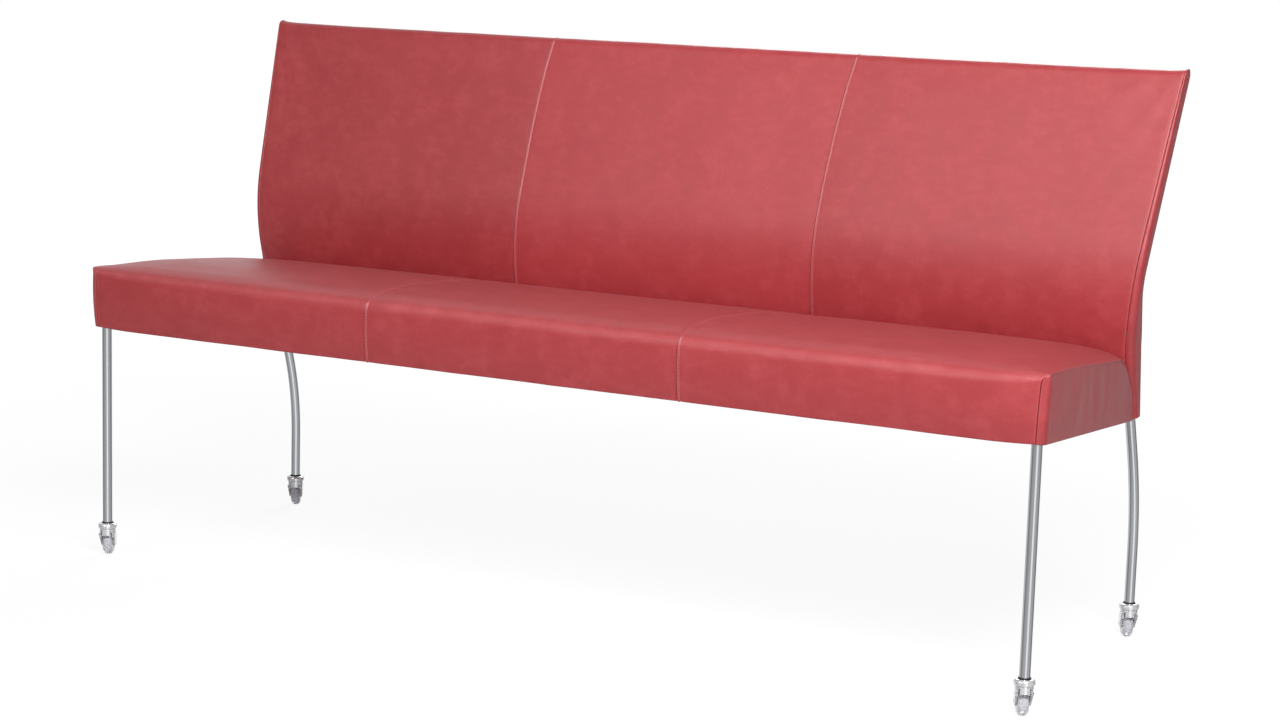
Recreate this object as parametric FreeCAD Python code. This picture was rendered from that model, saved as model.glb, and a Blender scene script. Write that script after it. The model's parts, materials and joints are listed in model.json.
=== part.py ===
import FreeCAD, Part
import math
import os

# Dining bench with a backrest: leather-covered seat and back on steel tube legs
# with swivel castors.
# Millimetres, +Z up, floor at Z = 0, +X along the seat, +Y from the front to the back.
# Sizes across the depth are measured from the front underside edge of the seat.
# The finished solids are shifted so that the origin lies at the centre of the floor area.

# Seat
SEAT_LENGTH = 1712.0
SEAT_END_TAPER = 28.0
SEAT_END_LEAN = 2.4
SEAT_CORNER_ROUND = 11.0
SEAT_DEPTH = 462.0
SEAT_UNDERSIDE_Z = 399.0
SEAT_TILT = 4.5
SEAT_THICKNESS = 97.0
SEAT_FRONT_ROUND = 24.0
SEAT_REAR_ROUND = 40.0
SEAT_REAR_SLOPE = 37.0
SEAT_CROWN_CENTRE = 10.0
SEAT_CROWN_SEAM = 8.5
SEAT_CROWN_REAR_SHARE = 1.6
SEAT_TOP_ARCH = 5.0
FRONT_SWELL_CENTRE = 7.0
FRONT_SWELL_SEAM = 5.5
FRONT_SWELL_END = 3.0
SEAM_SPACING = 566.0

# Leather and foam
LEATHER = 1.5
FOAM_CLEARANCE = 0.3
DECK_THICKNESS = 9.0
DECK_FRONT_INSET = 7.0
DECK_REAR_INSET = 26.0
BASE_COVER_THICKNESS = 2.5

# Back
BACK_HEIGHT = 542.3
BACK_FOOT_RISE = 2.5
BACK_SEAT_GAP = 3.0
BACK_FOOT_DEPTH = 25.0
BACK_WAIST_RISE = 77.5
BACK_WAIST_SETBACK = -21.0
BACK_WAIST_ROUND = 100.0
BACK_LUMBAR_RISE = 208.1
BACK_LUMBAR_SETBACK = -45.4
BACK_LUMBAR_ROUND = 300.0
BACK_RECLINE = 17.74
BACK_REAR_BEND_RISE = 131.5
BACK_REAR_BEND_SETBACK = 12.0
BACK_REAR_BEND_ROUND = 90.0
BACK_HOLLOW_RISE = 212.3
BACK_HOLLOW_SETBACK = -15.0
BACK_HOLLOW_ROUND = 80.0
BACK_TOP_ROUND = 12.0
BACK_FLARE = 32.0
BACK_FLARE_RISE = 117.5
BACK_CORNER_ROUND = 8.0
BACK_PANEL_THICKNESS = 6.0
BACK_TOP_RAIL_DROP = 28.0
BACK_BOTTOM_RAIL_RISE = 21.0
BACK_TOP_SEAM_DROP = 13.0

# Tubes of the legs and rails
TUBE_RADIUS = 8.0
TUBE_WALL = 1.5
FRONT_LEG_END_INSET = 17.2
FRONT_LEG_SETBACK = 18.0
REAR_LEG_INSET = 11.0
REAR_LEG_SETBACK = 66.0
REAR_LEG_BEND = 490.0
UPRIGHT_FOOT_SETBACK = 16.2
UPRIGHT_BEND = 330.0
UPRIGHT_VERTEX_RISE = 169.5
UPRIGHT_VERTEX_SETBACK = -43.6
UPRIGHT_TOP_DROP = 18.0
RAIL_HEIGHT = 30.0
RAIL_WIDTH = 15.0
RAIL_WALL = 1.5
REAR_RAIL_INSET = 42.0
LEG_HOLE_CLEARANCE = 0.3

# Deck screws
SCREW_RADIUS = 2.0
SCREW_HEAD_RADIUS = 4.2
SCREW_HEAD_HEIGHT = 2.2
SCREW_LENGTH = 18.0
SCREWS_PER_RAIL = 5

# Castors
CASTOR_TURN = 29.0
CASTOR_TRAIL = 12.0
WHEEL_RADIUS = 21.0
WHEEL_WIDTH = 17.0
WHEEL_NOSE = 7.0
WHEEL_TREAD_WIDTH = 15.0
WHEEL_FLANK_RADIUS = 11.0
WHEEL_FLANK_ROUND = 2.0
WHEEL_SIDE_CLEARANCE = 0.7
HUB_RADIUS = 8.0
HUB_CHAMFER = 2.0
HUB_CLEARANCE = 0.25
AXLE_RADIUS = 3.0
AXLE_RECESS = 0.3
RUNNING_CLEARANCE = 0.05
WEB_BOTTOM_Z = 45.0
WEB_THICKNESS = 5.6
SWIVEL_CLEARANCE = 0.4
HOOD_RADIUS = 13.7
HOOD_WALL = 2.0
HOOD_INNER_ROUND = 2.0
HOOD_BOTTOM_Z = 33.0
COLLAR_RADIUS = 15.9
COLLAR_BORE = 10.2
COLLAR_RISE = 7.0
COLLAR_HEIGHT = 9.5
COLLAR_LIP_ROUND = 4.6
COLLAR_FOOT_ROUND = 2.4
COLLAR_MOUTH_ROUND = 0.9
ARCH_TOP_Z = 37.0
ARCH_ROUND = 6.5
ARM_TOP_Z = 40.0
ARM_END_DROP = 6.0
ARM_END_ROUND = 6.0
ARM_HALF_DEPTH = 9.8
ARM_TAPER = 2.2
JOURNAL_RADIUS = 5.0
STEM_HEAD_RADIUS = 7.0
STEM_HEAD_HEIGHT = 1.4
STEM_SHANK_RADIUS = 4.0
STEM_SHANK_LENGTH = 31.0
PLUG_LENGTH = 30.0
PLUG_FLANGE = 2.0
PRESS_CLEARANCE = 0.05

# Values that follow from the driving sizes
Vec = FreeCAD.Vector
X_AXIS = Vec(1, 0, 0)
Z_AXIS = Vec(0, 0, 1)
FAR = 2000.0
TILT_TAN = math.tan(math.radians(SEAT_TILT))
RECLINE_TAN = math.tan(math.radians(BACK_RECLINE))
HALF_LENGTH = SEAT_LENGTH / 2
SEAM_X = SEAM_SPACING / 2
SEAT_REAR_Z = SEAT_UNDERSIDE_Z - SEAT_DEPTH * TILT_TAN
BACK_TOP_Z = SEAT_REAR_Z + BACK_HEIGHT
BACK_FOOT_Z = SEAT_REAR_Z + BACK_FOOT_RISE
BACK_FOOT_WIDTH = SEAT_LENGTH - 2 * SEAT_END_TAPER
BACK_TOP_WIDTH = BACK_FOOT_WIDTH + 2 * BACK_FLARE
REAR_LEG_X = BACK_FOOT_WIDTH / 2 - REAR_LEG_INSET
REAR_LEG_Y = SEAT_DEPTH + REAR_LEG_SETBACK
FRONT_LEG_X = HALF_LENGTH - FRONT_LEG_END_INSET
TUBE_BORE = TUBE_RADIUS - TUBE_WALL
RAIL_BOTTOM = BASE_COVER_THICKNESS + FOAM_CLEARANCE
RAIL_TOP = RAIL_BOTTOM + RAIL_HEIGHT
DECK_TOP = RAIL_TOP + DECK_THICKNESS
WEB_TOP_Z = WEB_BOTTOM_Z + WEB_THICKNESS
PLUG_BOTTOM_Z = WEB_TOP_Z + SWIVEL_CLEARANCE
TUBE_END_Z = PLUG_BOTTOM_Z + PLUG_FLANGE
FORK_GAP = WHEEL_WIDTH / 2 + WHEEL_SIDE_CLEARANCE


# Outlines made of straight or gently swelling sides joined by tangent arcs.
# A corner is (first coordinate, second coordinate, radius), listed clockwise.

def direction(start, end):
    length = math.hypot(end[0] - start[0], end[1] - start[1])
    return ((end[0] - start[0]) / length, (end[1] - start[1]) / length)


def corner_ends(before, corner, after):
    into = direction(before, corner)
    out = direction(corner, after)
    half_turn = math.acos(max(-1.0, min(1.0, into[0] * out[0] + into[1] * out[1]))) / 2
    run = corner[2] * math.tan(half_turn)
    entry = (corner[0] - into[0] * run, corner[1] - into[1] * run)
    leave = (corner[0] + out[0] * run, corner[1] + out[1] * run)
    if run < 1e-6:
        return entry, None, leave
    toward = direction((into[0], into[1]), (out[0], out[1]))
    reach = corner[2] * (1 / math.cos(half_turn) - 1)
    middle = (corner[0] + toward[0] * reach, corner[1] + toward[1] * reach)
    return entry, middle, leave


def side(start, end, swell, place):
    if abs(swell) < 1e-6:
        return Part.LineSegment(place(*start), place(*end)).toShape()
    along = direction(start, end)
    middle = ((start[0] + end[0]) / 2 - along[1] * swell,
              (start[1] + end[1]) / 2 + along[0] * swell)
    return Part.Arc(place(*start), place(*middle), place(*end)).toShape()


def outline(corners, place, swells=None):
    count = len(corners)
    swells = swells or [0.0] * count
    ends = [corner_ends(corners[i - 1], corners[i], corners[(i + 1) % count])
            for i in range(count)]
    edges = []
    for i in range(count):
        entry, middle, leave = ends[i]
        if middle:
            edges.append(Part.Arc(place(*entry), place(*middle), place(*leave)).toShape())
        edges.append(side(leave, ends[(i + 1) % count][0], swells[i], place))
    return Part.Wire(edges)


def path(corners, place):
    edges = []
    start = corners[0][:2]
    for i in range(1, len(corners) - 1):
        entry, middle, leave = corner_ends(corners[i - 1], corners[i], corners[i + 1])
        edges.append(side(start, entry, 0.0, place))
        edges.append(Part.Arc(place(*entry), place(*middle), place(*leave)).toShape())
        start = leave
    edges.append(side(start, corners[-1][:2], 0.0, place))
    return Part.Wire(edges)


def shifted(point, normals, distance):
    total = (normals[0][0] + normals[1][0], normals[0][1] + normals[1][1])
    share = distance / (1 + normals[0][0] * normals[1][0] + normals[0][1] * normals[1][1])
    return (point[0] + total[0] * share, point[1] + total[1] * share)


def inset(corners, distance, closed=True):
    count = len(corners)
    moved = []
    for i in range(count):
        before = corners[i - 1] if closed or i > 0 else None
        after = corners[(i + 1) % count] if closed or i < count - 1 else None
        into = direction(before, corners[i]) if before else direction(corners[i], after)
        out = direction(corners[i], after) if after else into
        point = shifted(corners[i], [(into[1], -into[0]), (out[1], -out[0])], distance)
        turn = into[0] * out[1] - into[1] * out[0]
        radius = corners[i][2] - distance if turn < 0 else corners[i][2] + distance
        moved.append((point[0], point[1], max(radius, 0.0) if corners[i][2] > 0 else 0.0))
    return moved


def in_yz(x):
    return lambda y, z: Vec(x, y, z)


def in_xz(x, z):
    return Vec(x, 0, z)


# Small solids

def slab_x(corners, low, high):
    return Part.Face(outline(corners, in_yz(low))).extrude(Vec(high - low, 0, 0))


def plan_slab(points, low, high):
    plate = Part.Face(Part.makePolygon([Vec(x, y, low) for x, y in points + points[:1]]))
    return plate.extrude(Vec(0, 0, high - low))


def box(x, y, z):
    return Part.makeBox(x[1] - x[0], y[1] - y[0], z[1] - z[0], Vec(x[0], y[0], z[0]))


def rod(radius, start, end):
    return Part.makeCylinder(radius, (end - start).Length, start, end - start)


def mirrored(shape):
    return shape.mirror(Vec(0, 0, 0), X_AXIS)


def tilted(shape):
    shape.rotate(Vec(0, 0, SEAT_UNDERSIDE_Z), X_AXIS, -SEAT_TILT)
    return shape


def lifted(shape):
    return tilted(shape.translated(Vec(0, 0, SEAT_UNDERSIDE_Z)))


def only(shape):
    solids = sorted(shape.Solids, key=lambda solid: solid.Volume)
    return solids[-1]


def less(shape, *tools):
    return shape.cut(list(tools))


# Seat form: three crowned panels between the seams and the two ends

def seat_corners(crown, drop):
    top_z = SEAT_UNDERSIDE_Z + SEAT_THICKNESS
    rear_top_y = SEAT_DEPTH - SEAT_REAR_SLOPE
    rear_top_z = top_z - rear_top_y * TILT_TAN + crown * SEAT_CROWN_REAR_SHARE
    rear_lean = SEAT_REAR_SLOPE / (rear_top_z - SEAT_REAR_Z)
    return [(0.0, SEAT_UNDERSIDE_Z - drop, 0.0),
            (0.0, top_z + crown, SEAT_FRONT_ROUND),
            (rear_top_y, rear_top_z, SEAT_REAR_ROUND),
            (SEAT_DEPTH + drop * rear_lean, SEAT_REAR_Z - drop, 0.0)]


def seat_section(x, crown, swell, skin, drop):
    corners = inset(seat_corners(crown, drop), skin)
    return outline(corners, in_yz(x), [swell, SEAT_TOP_ARCH, 0.0, 0.0])


def seat_block(stations, skin=0.0, drop=0.0):
    sections = [seat_section(x, crown, swell, skin, drop) for x, crown, swell in stations]
    return Part.makeLoft(sections, True, False)


def end_x(y):
    return HALF_LENGTH - SEAT_END_TAPER * y / SEAT_DEPTH


def end_zone(skin):
    points = [(end_x(-FAR) - skin, -FAR), (FAR, -FAR), (FAR, FAR), (end_x(FAR) - skin, FAR)]
    zone = plan_slab(points, -FAR, FAR)
    zone.rotate(Vec(HALF_LENGTH - skin, 0, 0), Vec(-SEAT_END_TAPER, SEAT_DEPTH, 0), SEAT_END_LEAN)
    return lifted(zone)


def corner_zone(skin):
    centre = Vec(HALF_LENGTH - SEAT_CORNER_ROUND, SEAT_CORNER_ROUND - FRONT_SWELL_END, -FAR)
    post = Part.makeCylinder(SEAT_CORNER_ROUND - skin, 2 * FAR, centre)
    block = box((centre.x, FAR), (-FAR, centre.y), (-FAR, FAR))
    return lifted(block.cut(post))


SEAT_MIDDLE = [(-SEAM_X, SEAT_CROWN_SEAM, FRONT_SWELL_SEAM),
               (0.0, SEAT_CROWN_CENTRE, FRONT_SWELL_CENTRE),
               (SEAM_X, SEAT_CROWN_SEAM, FRONT_SWELL_SEAM)]
SEAT_SIDE = [(SEAM_X, SEAT_CROWN_SEAM, FRONT_SWELL_SEAM),
             ((SEAM_X + HALF_LENGTH) / 2, SEAT_CROWN_SEAM, FRONT_SWELL_SEAM),
             (HALF_LENGTH + SEAT_END_TAPER, 0.0, FRONT_SWELL_END)]
UNDERCUT = 20.0


# Back form: a lumbar profile drawn along X, trimmed to the flared outline

BACK_FRONT = [(SEAT_DEPTH + BACK_SEAT_GAP, BACK_FOOT_Z, 0.0),
              (SEAT_DEPTH + BACK_WAIST_SETBACK, SEAT_REAR_Z + BACK_WAIST_RISE, BACK_WAIST_ROUND),
              (SEAT_DEPTH + BACK_LUMBAR_SETBACK, SEAT_REAR_Z + BACK_LUMBAR_RISE,
               BACK_LUMBAR_ROUND)]
BACK_REAR = [(SEAT_DEPTH + BACK_HOLLOW_SETBACK, SEAT_REAR_Z + BACK_HOLLOW_RISE,
              BACK_HOLLOW_ROUND),
             (SEAT_DEPTH + BACK_REAR_BEND_SETBACK, SEAT_REAR_Z + BACK_REAR_BEND_RISE,
              BACK_REAR_BEND_ROUND),
             (SEAT_DEPTH + BACK_SEAT_GAP + BACK_FOOT_DEPTH, BACK_FOOT_Z, 0.0)]


def reclined(corner, z, radius):
    return (corner[0] + (z - corner[1]) * RECLINE_TAN, z, radius)


BACK_PROFILE = (BACK_FRONT
                + [reclined(BACK_FRONT[-1], BACK_TOP_Z, BACK_TOP_ROUND),
                   reclined(BACK_REAR[0], BACK_TOP_Z, BACK_TOP_ROUND)]
                + BACK_REAR)
FLARE_Z = SEAT_REAR_Z + BACK_FLARE_RISE
BACK_OUTLINE = [(-BACK_FOOT_WIDTH / 2, BACK_FOOT_Z - UNDERCUT, 0.0),
                (-BACK_FOOT_WIDTH / 2, FLARE_Z, 0.0),
                (-BACK_TOP_WIDTH / 2, BACK_TOP_Z, BACK_CORNER_ROUND),
                (BACK_TOP_WIDTH / 2, BACK_TOP_Z, BACK_CORNER_ROUND),
                (BACK_FOOT_WIDTH / 2, FLARE_Z, 0.0),
                (BACK_FOOT_WIDTH / 2, BACK_FOOT_Z - UNDERCUT, 0.0)]


def back_outline_slab(skin):
    corners = [(x, z + skin, radius) for x, z, radius in inset(BACK_OUTLINE, skin)]
    return Part.Face(outline(corners, in_xz)).extrude(Vec(0, FAR, 0))


def back_block(skin=0.0):
    return slab_x(inset(BACK_PROFILE, skin), -FAR, FAR).common(back_outline_slab(skin))


# Centre line of a rear leg that runs up inside the back as its upright

UPRIGHT_FOOT = (SEAT_DEPTH + UPRIGHT_FOOT_SETBACK, BACK_FOOT_Z)
UPRIGHT_VERTEX = (SEAT_DEPTH + UPRIGHT_VERTEX_SETBACK, SEAT_REAR_Z + UPRIGHT_VERTEX_RISE,
                  UPRIGHT_BEND)
LEAN = (UPRIGHT_FOOT[0] - UPRIGHT_VERTEX[0]) / (UPRIGHT_VERTEX[1] - UPRIGHT_FOOT[1])
BEND_VERTEX = (REAR_LEG_Y, UPRIGHT_FOOT[1] - (REAR_LEG_Y - UPRIGHT_FOOT[0]) / LEAN,
               REAR_LEG_BEND)
UPRIGHT_TOP = reclined(UPRIGHT_VERTEX, BACK_TOP_Z - UPRIGHT_TOP_DROP, 0.0)
REAR_LEG_LINE = [(REAR_LEG_Y, TUBE_END_Z, 0.0), BEND_VERTEX, UPRIGHT_VERTEX, UPRIGHT_TOP]


def bent_rod(radius):
    line = path(REAR_LEG_LINE, in_yz(REAR_LEG_X))
    start = Vec(REAR_LEG_X, REAR_LEG_Y, TUBE_END_Z)
    ring = Part.Wire(Part.makeCircle(radius, start, Z_AXIS))
    return line.makePipeShell([ring], True, False)


def front_rod(radius):
    top = SEAT_UNDERSIDE_Z + SEAT_THICKNESS
    return rod(radius, Vec(FRONT_LEG_X, FRONT_LEG_SETBACK, TUBE_END_Z),
               Vec(FRONT_LEG_X, FRONT_LEG_SETBACK, top))


def upright_y(z):
    if z > UPRIGHT_VERTEX[1]:
        return UPRIGHT_VERTEX[0] + (z - UPRIGHT_VERTEX[1]) * RECLINE_TAN
    return UPRIGHT_VERTEX[0] + (UPRIGHT_VERTEX[1] - z) * LEAN


# Nodes of the finished bench
nodes = {}


def add(name, shape):
    nodes[name] = shape


def add_pair(name, right_shape):
    add(name + "_right", right_shape)
    add(name + "_left", mirrored(right_shape))


# Legs
above_rails = lifted(box((-FAR, FAR), (-FAR, FAR), (RAIL_TOP, FAR)))
front_outer = front_rod(TUBE_RADIUS)
rear_outer = bent_rod(TUBE_RADIUS)
both_fronts = [front_outer, mirrored(front_outer)]
both_rears = [rear_outer, mirrored(rear_outer)]
add_pair("front_leg", only(less(front_outer, front_rod(TUBE_BORE), above_rails)))
add_pair("rear_leg", only(less(rear_outer, bent_rod(TUBE_BORE))))


# Seat frame of rectangular tube, laid in the tilted plane of the underside

def rail_x(half, y, wall=0.0):
    return lifted(box((-half, half),
                      (y - RAIL_WIDTH / 2 + wall, y + RAIL_WIDTH / 2 - wall),
                      (RAIL_BOTTOM + wall, RAIL_TOP - wall)))


END_RAIL_RUN = UPRIGHT_FOOT[0] - FRONT_LEG_SETBACK
END_RAIL_TURN = math.degrees(math.atan2(FRONT_LEG_X - REAR_LEG_X, END_RAIL_RUN))


def end_rail(grow=0.0):
    half = RAIL_WIDTH / 2 + grow
    bar = box((FRONT_LEG_X - half, FRONT_LEG_X + half),
              (FRONT_LEG_SETBACK, UPRIGHT_FOOT[0]),
              (RAIL_BOTTOM - grow, RAIL_TOP + grow))
    bar.rotate(Vec(FRONT_LEG_X, FRONT_LEG_SETBACK, 0), Z_AXIS, END_RAIL_TURN)
    return lifted(bar)


def cross_rail(x, wall=0.0):
    return lifted(box((x - RAIL_WIDTH / 2 + wall, x + RAIL_WIDTH / 2 - wall),
                      (FRONT_LEG_SETBACK + RAIL_WIDTH / 2, REAR_RAIL_Y - RAIL_WIDTH / 2),
                      (RAIL_BOTTOM + wall, RAIL_TOP - wall)))


REAR_RAIL_Y = SEAT_DEPTH - REAR_RAIL_INSET
end_outer = end_rail()
both_ends = [end_outer, mirrored(end_outer)]


def screw_places():
    step = SEAT_LENGTH / (SCREWS_PER_RAIL + 1)
    offset = (SCREWS_PER_RAIL - 1) / 2
    return [((i - offset) * step, y) for y in (FRONT_LEG_SETBACK, REAR_RAIL_Y)
            for i in range(SCREWS_PER_RAIL)]


def screws(head_grow=0.0):
    shapes = []
    for x, y in screw_places():
        base = Vec(x, y, DECK_TOP - SCREW_LENGTH)
        shank = Part.makeCylinder(SCREW_RADIUS, SCREW_LENGTH, base)
        head = Part.makeCylinder(SCREW_HEAD_RADIUS + head_grow, SCREW_HEAD_HEIGHT + head_grow,
                                 Vec(x, y, DECK_TOP))
        shapes.append(lifted(shank.fuse(head).removeSplitter()))
    return shapes


deck_screws = screws()
front_bar = rail_x(HALF_LENGTH, FRONT_LEG_SETBACK)
front_rail = less(rail_x(FRONT_LEG_X, FRONT_LEG_SETBACK),
                  rail_x(FRONT_LEG_X, FRONT_LEG_SETBACK, RAIL_WALL), *both_fronts)
rear_rail = less(rail_x(HALF_LENGTH, REAR_RAIL_Y),
                 rail_x(HALF_LENGTH, REAR_RAIL_Y, RAIL_WALL), *both_ends)
add("seat_front_rail", only(less(front_rail, *deck_screws)))
add("seat_rear_rail", only(less(rear_rail, *deck_screws)))
end_hollow = end_rail(-RAIL_WALL)
add_pair("seat_end_rail", only(less(end_outer, end_hollow, front_bar, front_outer, rear_outer)))
add_pair("seat_cross_rail", less(cross_rail(SEAM_X), cross_rail(SEAM_X, RAIL_WALL)))


# Deck and base cover, trapezoids that stop just short of the end covers

def seat_plate(front, rear, low, high, clearance):
    def edge(y):
        return end_x(y) - LEATHER - clearance
    points = [(-edge(front), front), (edge(front), front), (edge(rear), rear),
              (-edge(rear), rear)]
    return lifted(plan_slab(points, low, high))


deck_rear = SEAT_DEPTH - DECK_REAR_INSET
deck = seat_plate(DECK_FRONT_INSET, deck_rear, RAIL_TOP, DECK_TOP, FOAM_CLEARANCE)
add("seat_deck", less(deck, *deck_screws))
add("deck_screws", Part.makeCompound(deck_screws))
leg_holes = [front_rod(TUBE_RADIUS + LEG_HOLE_CLEARANCE)]
leg_holes.append(mirrored(leg_holes[0]))
base_cover = seat_plate(LEATHER + FOAM_CLEARANCE, SEAT_DEPTH - LEATHER - 2 * FOAM_CLEARANCE,
                        0.0, BASE_COVER_THICKNESS, FOAM_CLEARANCE)
base_corner = corner_zone(LEATHER + FOAM_CLEARANCE)
add("seat_base_cover", less(base_cover, base_corner, mirrored(base_corner), *leg_holes))

# Seat foam and leather
rail_pockets = [end_rail(FOAM_CLEARANCE)]
rail_pockets.append(mirrored(rail_pockets[0]))
end_cut = end_zone(0.0)
end_skin_cut = end_zone(LEATHER)
core_middle = seat_block(SEAT_MIDDLE, LEATHER, UNDERCUT)
core_side = less(seat_block(SEAT_SIDE, LEATHER, UNDERCUT), end_skin_cut, corner_zone(LEATHER))
frame_space = seat_plate(DECK_FRONT_INSET - FOAM_CLEARANCE, deck_rear + FOAM_CLEARANCE,
                         -UNDERCUT, DECK_TOP, -LEATHER)
below_foam = lifted(box((-FAR, FAR), (-FAR, FAR), (-FAR, RAIL_BOTTOM)))
foam = core_middle.fuse([core_side, mirrored(core_side)])
foam = less(foam, frame_space, below_foam, *screws(FOAM_CLEARANCE), *rail_pockets)
add("seat_foam", only(foam))
outer_side = less(seat_block(SEAT_SIDE), end_cut, corner_zone(0.0))
add("seat_cover_centre", only(seat_block(SEAT_MIDDLE).cut(core_middle)))
side_cover = less(outer_side, end_skin_cut, core_side, rail_pockets[0])
add_pair("seat_cover", only(side_cover))
add_pair("seat_end_cover", only(less(outer_side.common(end_skin_cut), rail_pockets[0])))

# Back frame between the two uprights
top_rail_z = UPRIGHT_TOP[1] - BACK_TOP_RAIL_DROP + TUBE_RADIUS
bottom_rail_z = BACK_FOOT_Z + BACK_BOTTOM_RAIL_RISE


def back_rail(z, radius):
    y = upright_y(z)
    return rod(radius, Vec(-REAR_LEG_X, y, z), Vec(REAR_LEG_X, y, z))


def back_rail_tube(z):
    return only(less(back_rail(z, TUBE_RADIUS), back_rail(z, TUBE_BORE), *both_rears))


add("back_top_rail", back_rail_tube(top_rail_z))
add("back_bottom_rail", only(less(back_rail_tube(bottom_rail_z), *both_ends)))
panel_line = [(upright_y(bottom_rail_z), bottom_rail_z, 0.0), UPRIGHT_VERTEX,
              (upright_y(top_rail_z), top_rail_z, 0.0)]
panel_front = inset(panel_line, -BACK_PANEL_THICKNESS / 2, closed=False)
panel_rear = inset(panel_line, BACK_PANEL_THICKNESS / 2, closed=False)
panel_half = REAR_LEG_X - TUBE_RADIUS
panel = slab_x(panel_front + panel_rear[::-1], -panel_half, panel_half)
back_rails = [back_rail(top_rail_z, TUBE_RADIUS), back_rail(bottom_rail_z, TUBE_RADIUS)]
back_panel = only(less(panel, *back_rails, *both_rears))
add("back_panel", back_panel)

# Back foam and leather, parted along the middle of the back
zone_line = [(upright_y(BACK_FOOT_Z - UNDERCUT), BACK_FOOT_Z - UNDERCUT, 0.0),
             UPRIGHT_VERTEX,
             reclined(UPRIGHT_VERTEX, BACK_TOP_Z - BACK_TOP_SEAM_DROP, 0.0)]
seam_z = BACK_TOP_Z - BACK_TOP_SEAM_DROP
front_zone = slab_x([(0.0, BACK_FOOT_Z - UNDERCUT, 0.0), (0.0, FAR, 0.0), (FAR, FAR, 0.0),
                     (FAR, seam_z, 0.0)] + zone_line[::-1], -FAR, FAR)
back_whole = back_block()
back_core = back_block(LEATHER)
upright_pocket = bent_rod(TUBE_RADIUS + FOAM_CLEARANCE)
foam_tools = [back_panel, upright_pocket, mirrored(upright_pocket)] + rail_pockets
foam_tools += [back_rail(z, TUBE_RADIUS + 2 * FOAM_CLEARANCE) for z in (top_rail_z, bottom_rail_z)]
add("back_foam_front", only(less(back_core.common(front_zone), *foam_tools)))
add("back_foam_rear", only(less(back_core.cut(front_zone), *foam_tools)))
between_strips = back_outline_slab(LEATHER)
tube_mouths = [bent_rod(TUBE_RADIUS + LEG_HOLE_CLEARANCE)]
tube_mouths.append(mirrored(tube_mouths[0]))
strips = less(back_whole, between_strips, *tube_mouths)
strip_right = strips.common(box((0.0, FAR), (0.0, FAR), (0.0, FAR)))
add_pair("back_edge_strip", only(strip_right))
skin = less(back_whole.common(between_strips), back_core, *tube_mouths, *rail_pockets)
skin_front = skin.common(front_zone)
skin_rear = skin.cut(front_zone)
seam_zones = {"left": (-FAR, -SEAM_X), "centre": (-SEAM_X, SEAM_X), "right": (SEAM_X, FAR)}
for place, span in seam_zones.items():
    third = box(span, (0.0, FAR), (0.0, FAR))
    add("back_cover_" + place, only(skin_front.common(third)))
    add("back_rear_cover_" + place, only(skin_rear.common(third)))


# Castor, drawn about its swivel axis with the wheel trailing towards +Y

def castor_fork():
    top = WEB_TOP_Z + COLLAR_RISE
    ring = [(JOURNAL_RADIUS + RUNNING_CLEARANCE, WEB_BOTTOM_Z, 0.0),
            (JOURNAL_RADIUS + RUNNING_CLEARANCE, WEB_TOP_Z, 0.0),
            (COLLAR_BORE, WEB_TOP_Z, 0.0),
            (COLLAR_BORE, top, COLLAR_MOUTH_ROUND),
            (COLLAR_RADIUS, top, COLLAR_LIP_ROUND),
            (COLLAR_RADIUS, top - COLLAR_HEIGHT, COLLAR_FOOT_ROUND),
            (HOOD_RADIUS, top - COLLAR_HEIGHT, 0.0),
            (HOOD_RADIUS, HOOD_BOTTOM_Z, 0.0),
            (HOOD_RADIUS - HOOD_WALL, HOOD_BOTTOM_Z, 0.0),
            (HOOD_RADIUS - HOOD_WALL, WEB_BOTTOM_Z, HOOD_INNER_ROUND)]
    hood = Part.Face(outline(ring, in_xz)).revolve(Vec(0, 0, 0), Z_AXIS, 360)
    arm_corners = [(-ARM_HALF_DEPTH, ARM_TOP_Z, 0.0), (ARM_HALF_DEPTH, ARM_TOP_Z, 0.0),
                   (CASTOR_TRAIL + ARM_END_ROUND, WHEEL_RADIUS - ARM_END_DROP, ARM_END_ROUND),
                   (CASTOR_TRAIL - ARM_END_ROUND, WHEEL_RADIUS - ARM_END_DROP, ARM_END_ROUND)]
    arms = slab_x(arm_corners, -HOOD_RADIUS, HOOD_RADIUS)
    taper = [(HOOD_RADIUS, ARM_TOP_Z, 0.0), (FAR, ARM_TOP_Z, 0.0), (FAR, 0.0, 0.0),
             (HOOD_RADIUS - ARM_TAPER * ARM_TOP_Z / (ARM_TOP_Z - WHEEL_RADIUS + ARM_END_DROP),
              0.0, 0.0)]
    wedge = Part.Face(outline(taper, in_xz)).extrude(Vec(0, FAR, 0))
    wedge.translate(Vec(0, -FAR / 2, 0))
    slot = box((-FORK_GAP, FORK_GAP), (HOOD_WALL - HOOD_RADIUS, FAR), (0.0, WEB_BOTTOM_Z))
    arch = [(-FORK_GAP, 0.0, 0.0), (-FORK_GAP, ARCH_TOP_Z, ARCH_ROUND),
            (FORK_GAP, ARCH_TOP_Z, ARCH_ROUND), (FORK_GAP, 0.0, 0.0)]
    mouth = Part.Face(outline(arch, in_xz)).extrude(Vec(0, -FAR, 0))
    pin = rod(AXLE_RADIUS, Vec(-FAR, CASTOR_TRAIL, WHEEL_RADIUS),
              Vec(FAR, CASTOR_TRAIL, WHEEL_RADIUS))
    solid = less(hood.fuse(arms), wedge, mirrored(wedge), slot, mouth, pin)
    return only(solid.removeSplitter())


def spun(corners):
    turned = Part.Face(outline(corners, in_xz)).revolve(Vec(0, 0, 0), X_AXIS, 360)
    turned.translate(Vec(0, CASTOR_TRAIL, WHEEL_RADIUS))
    return turned


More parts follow.
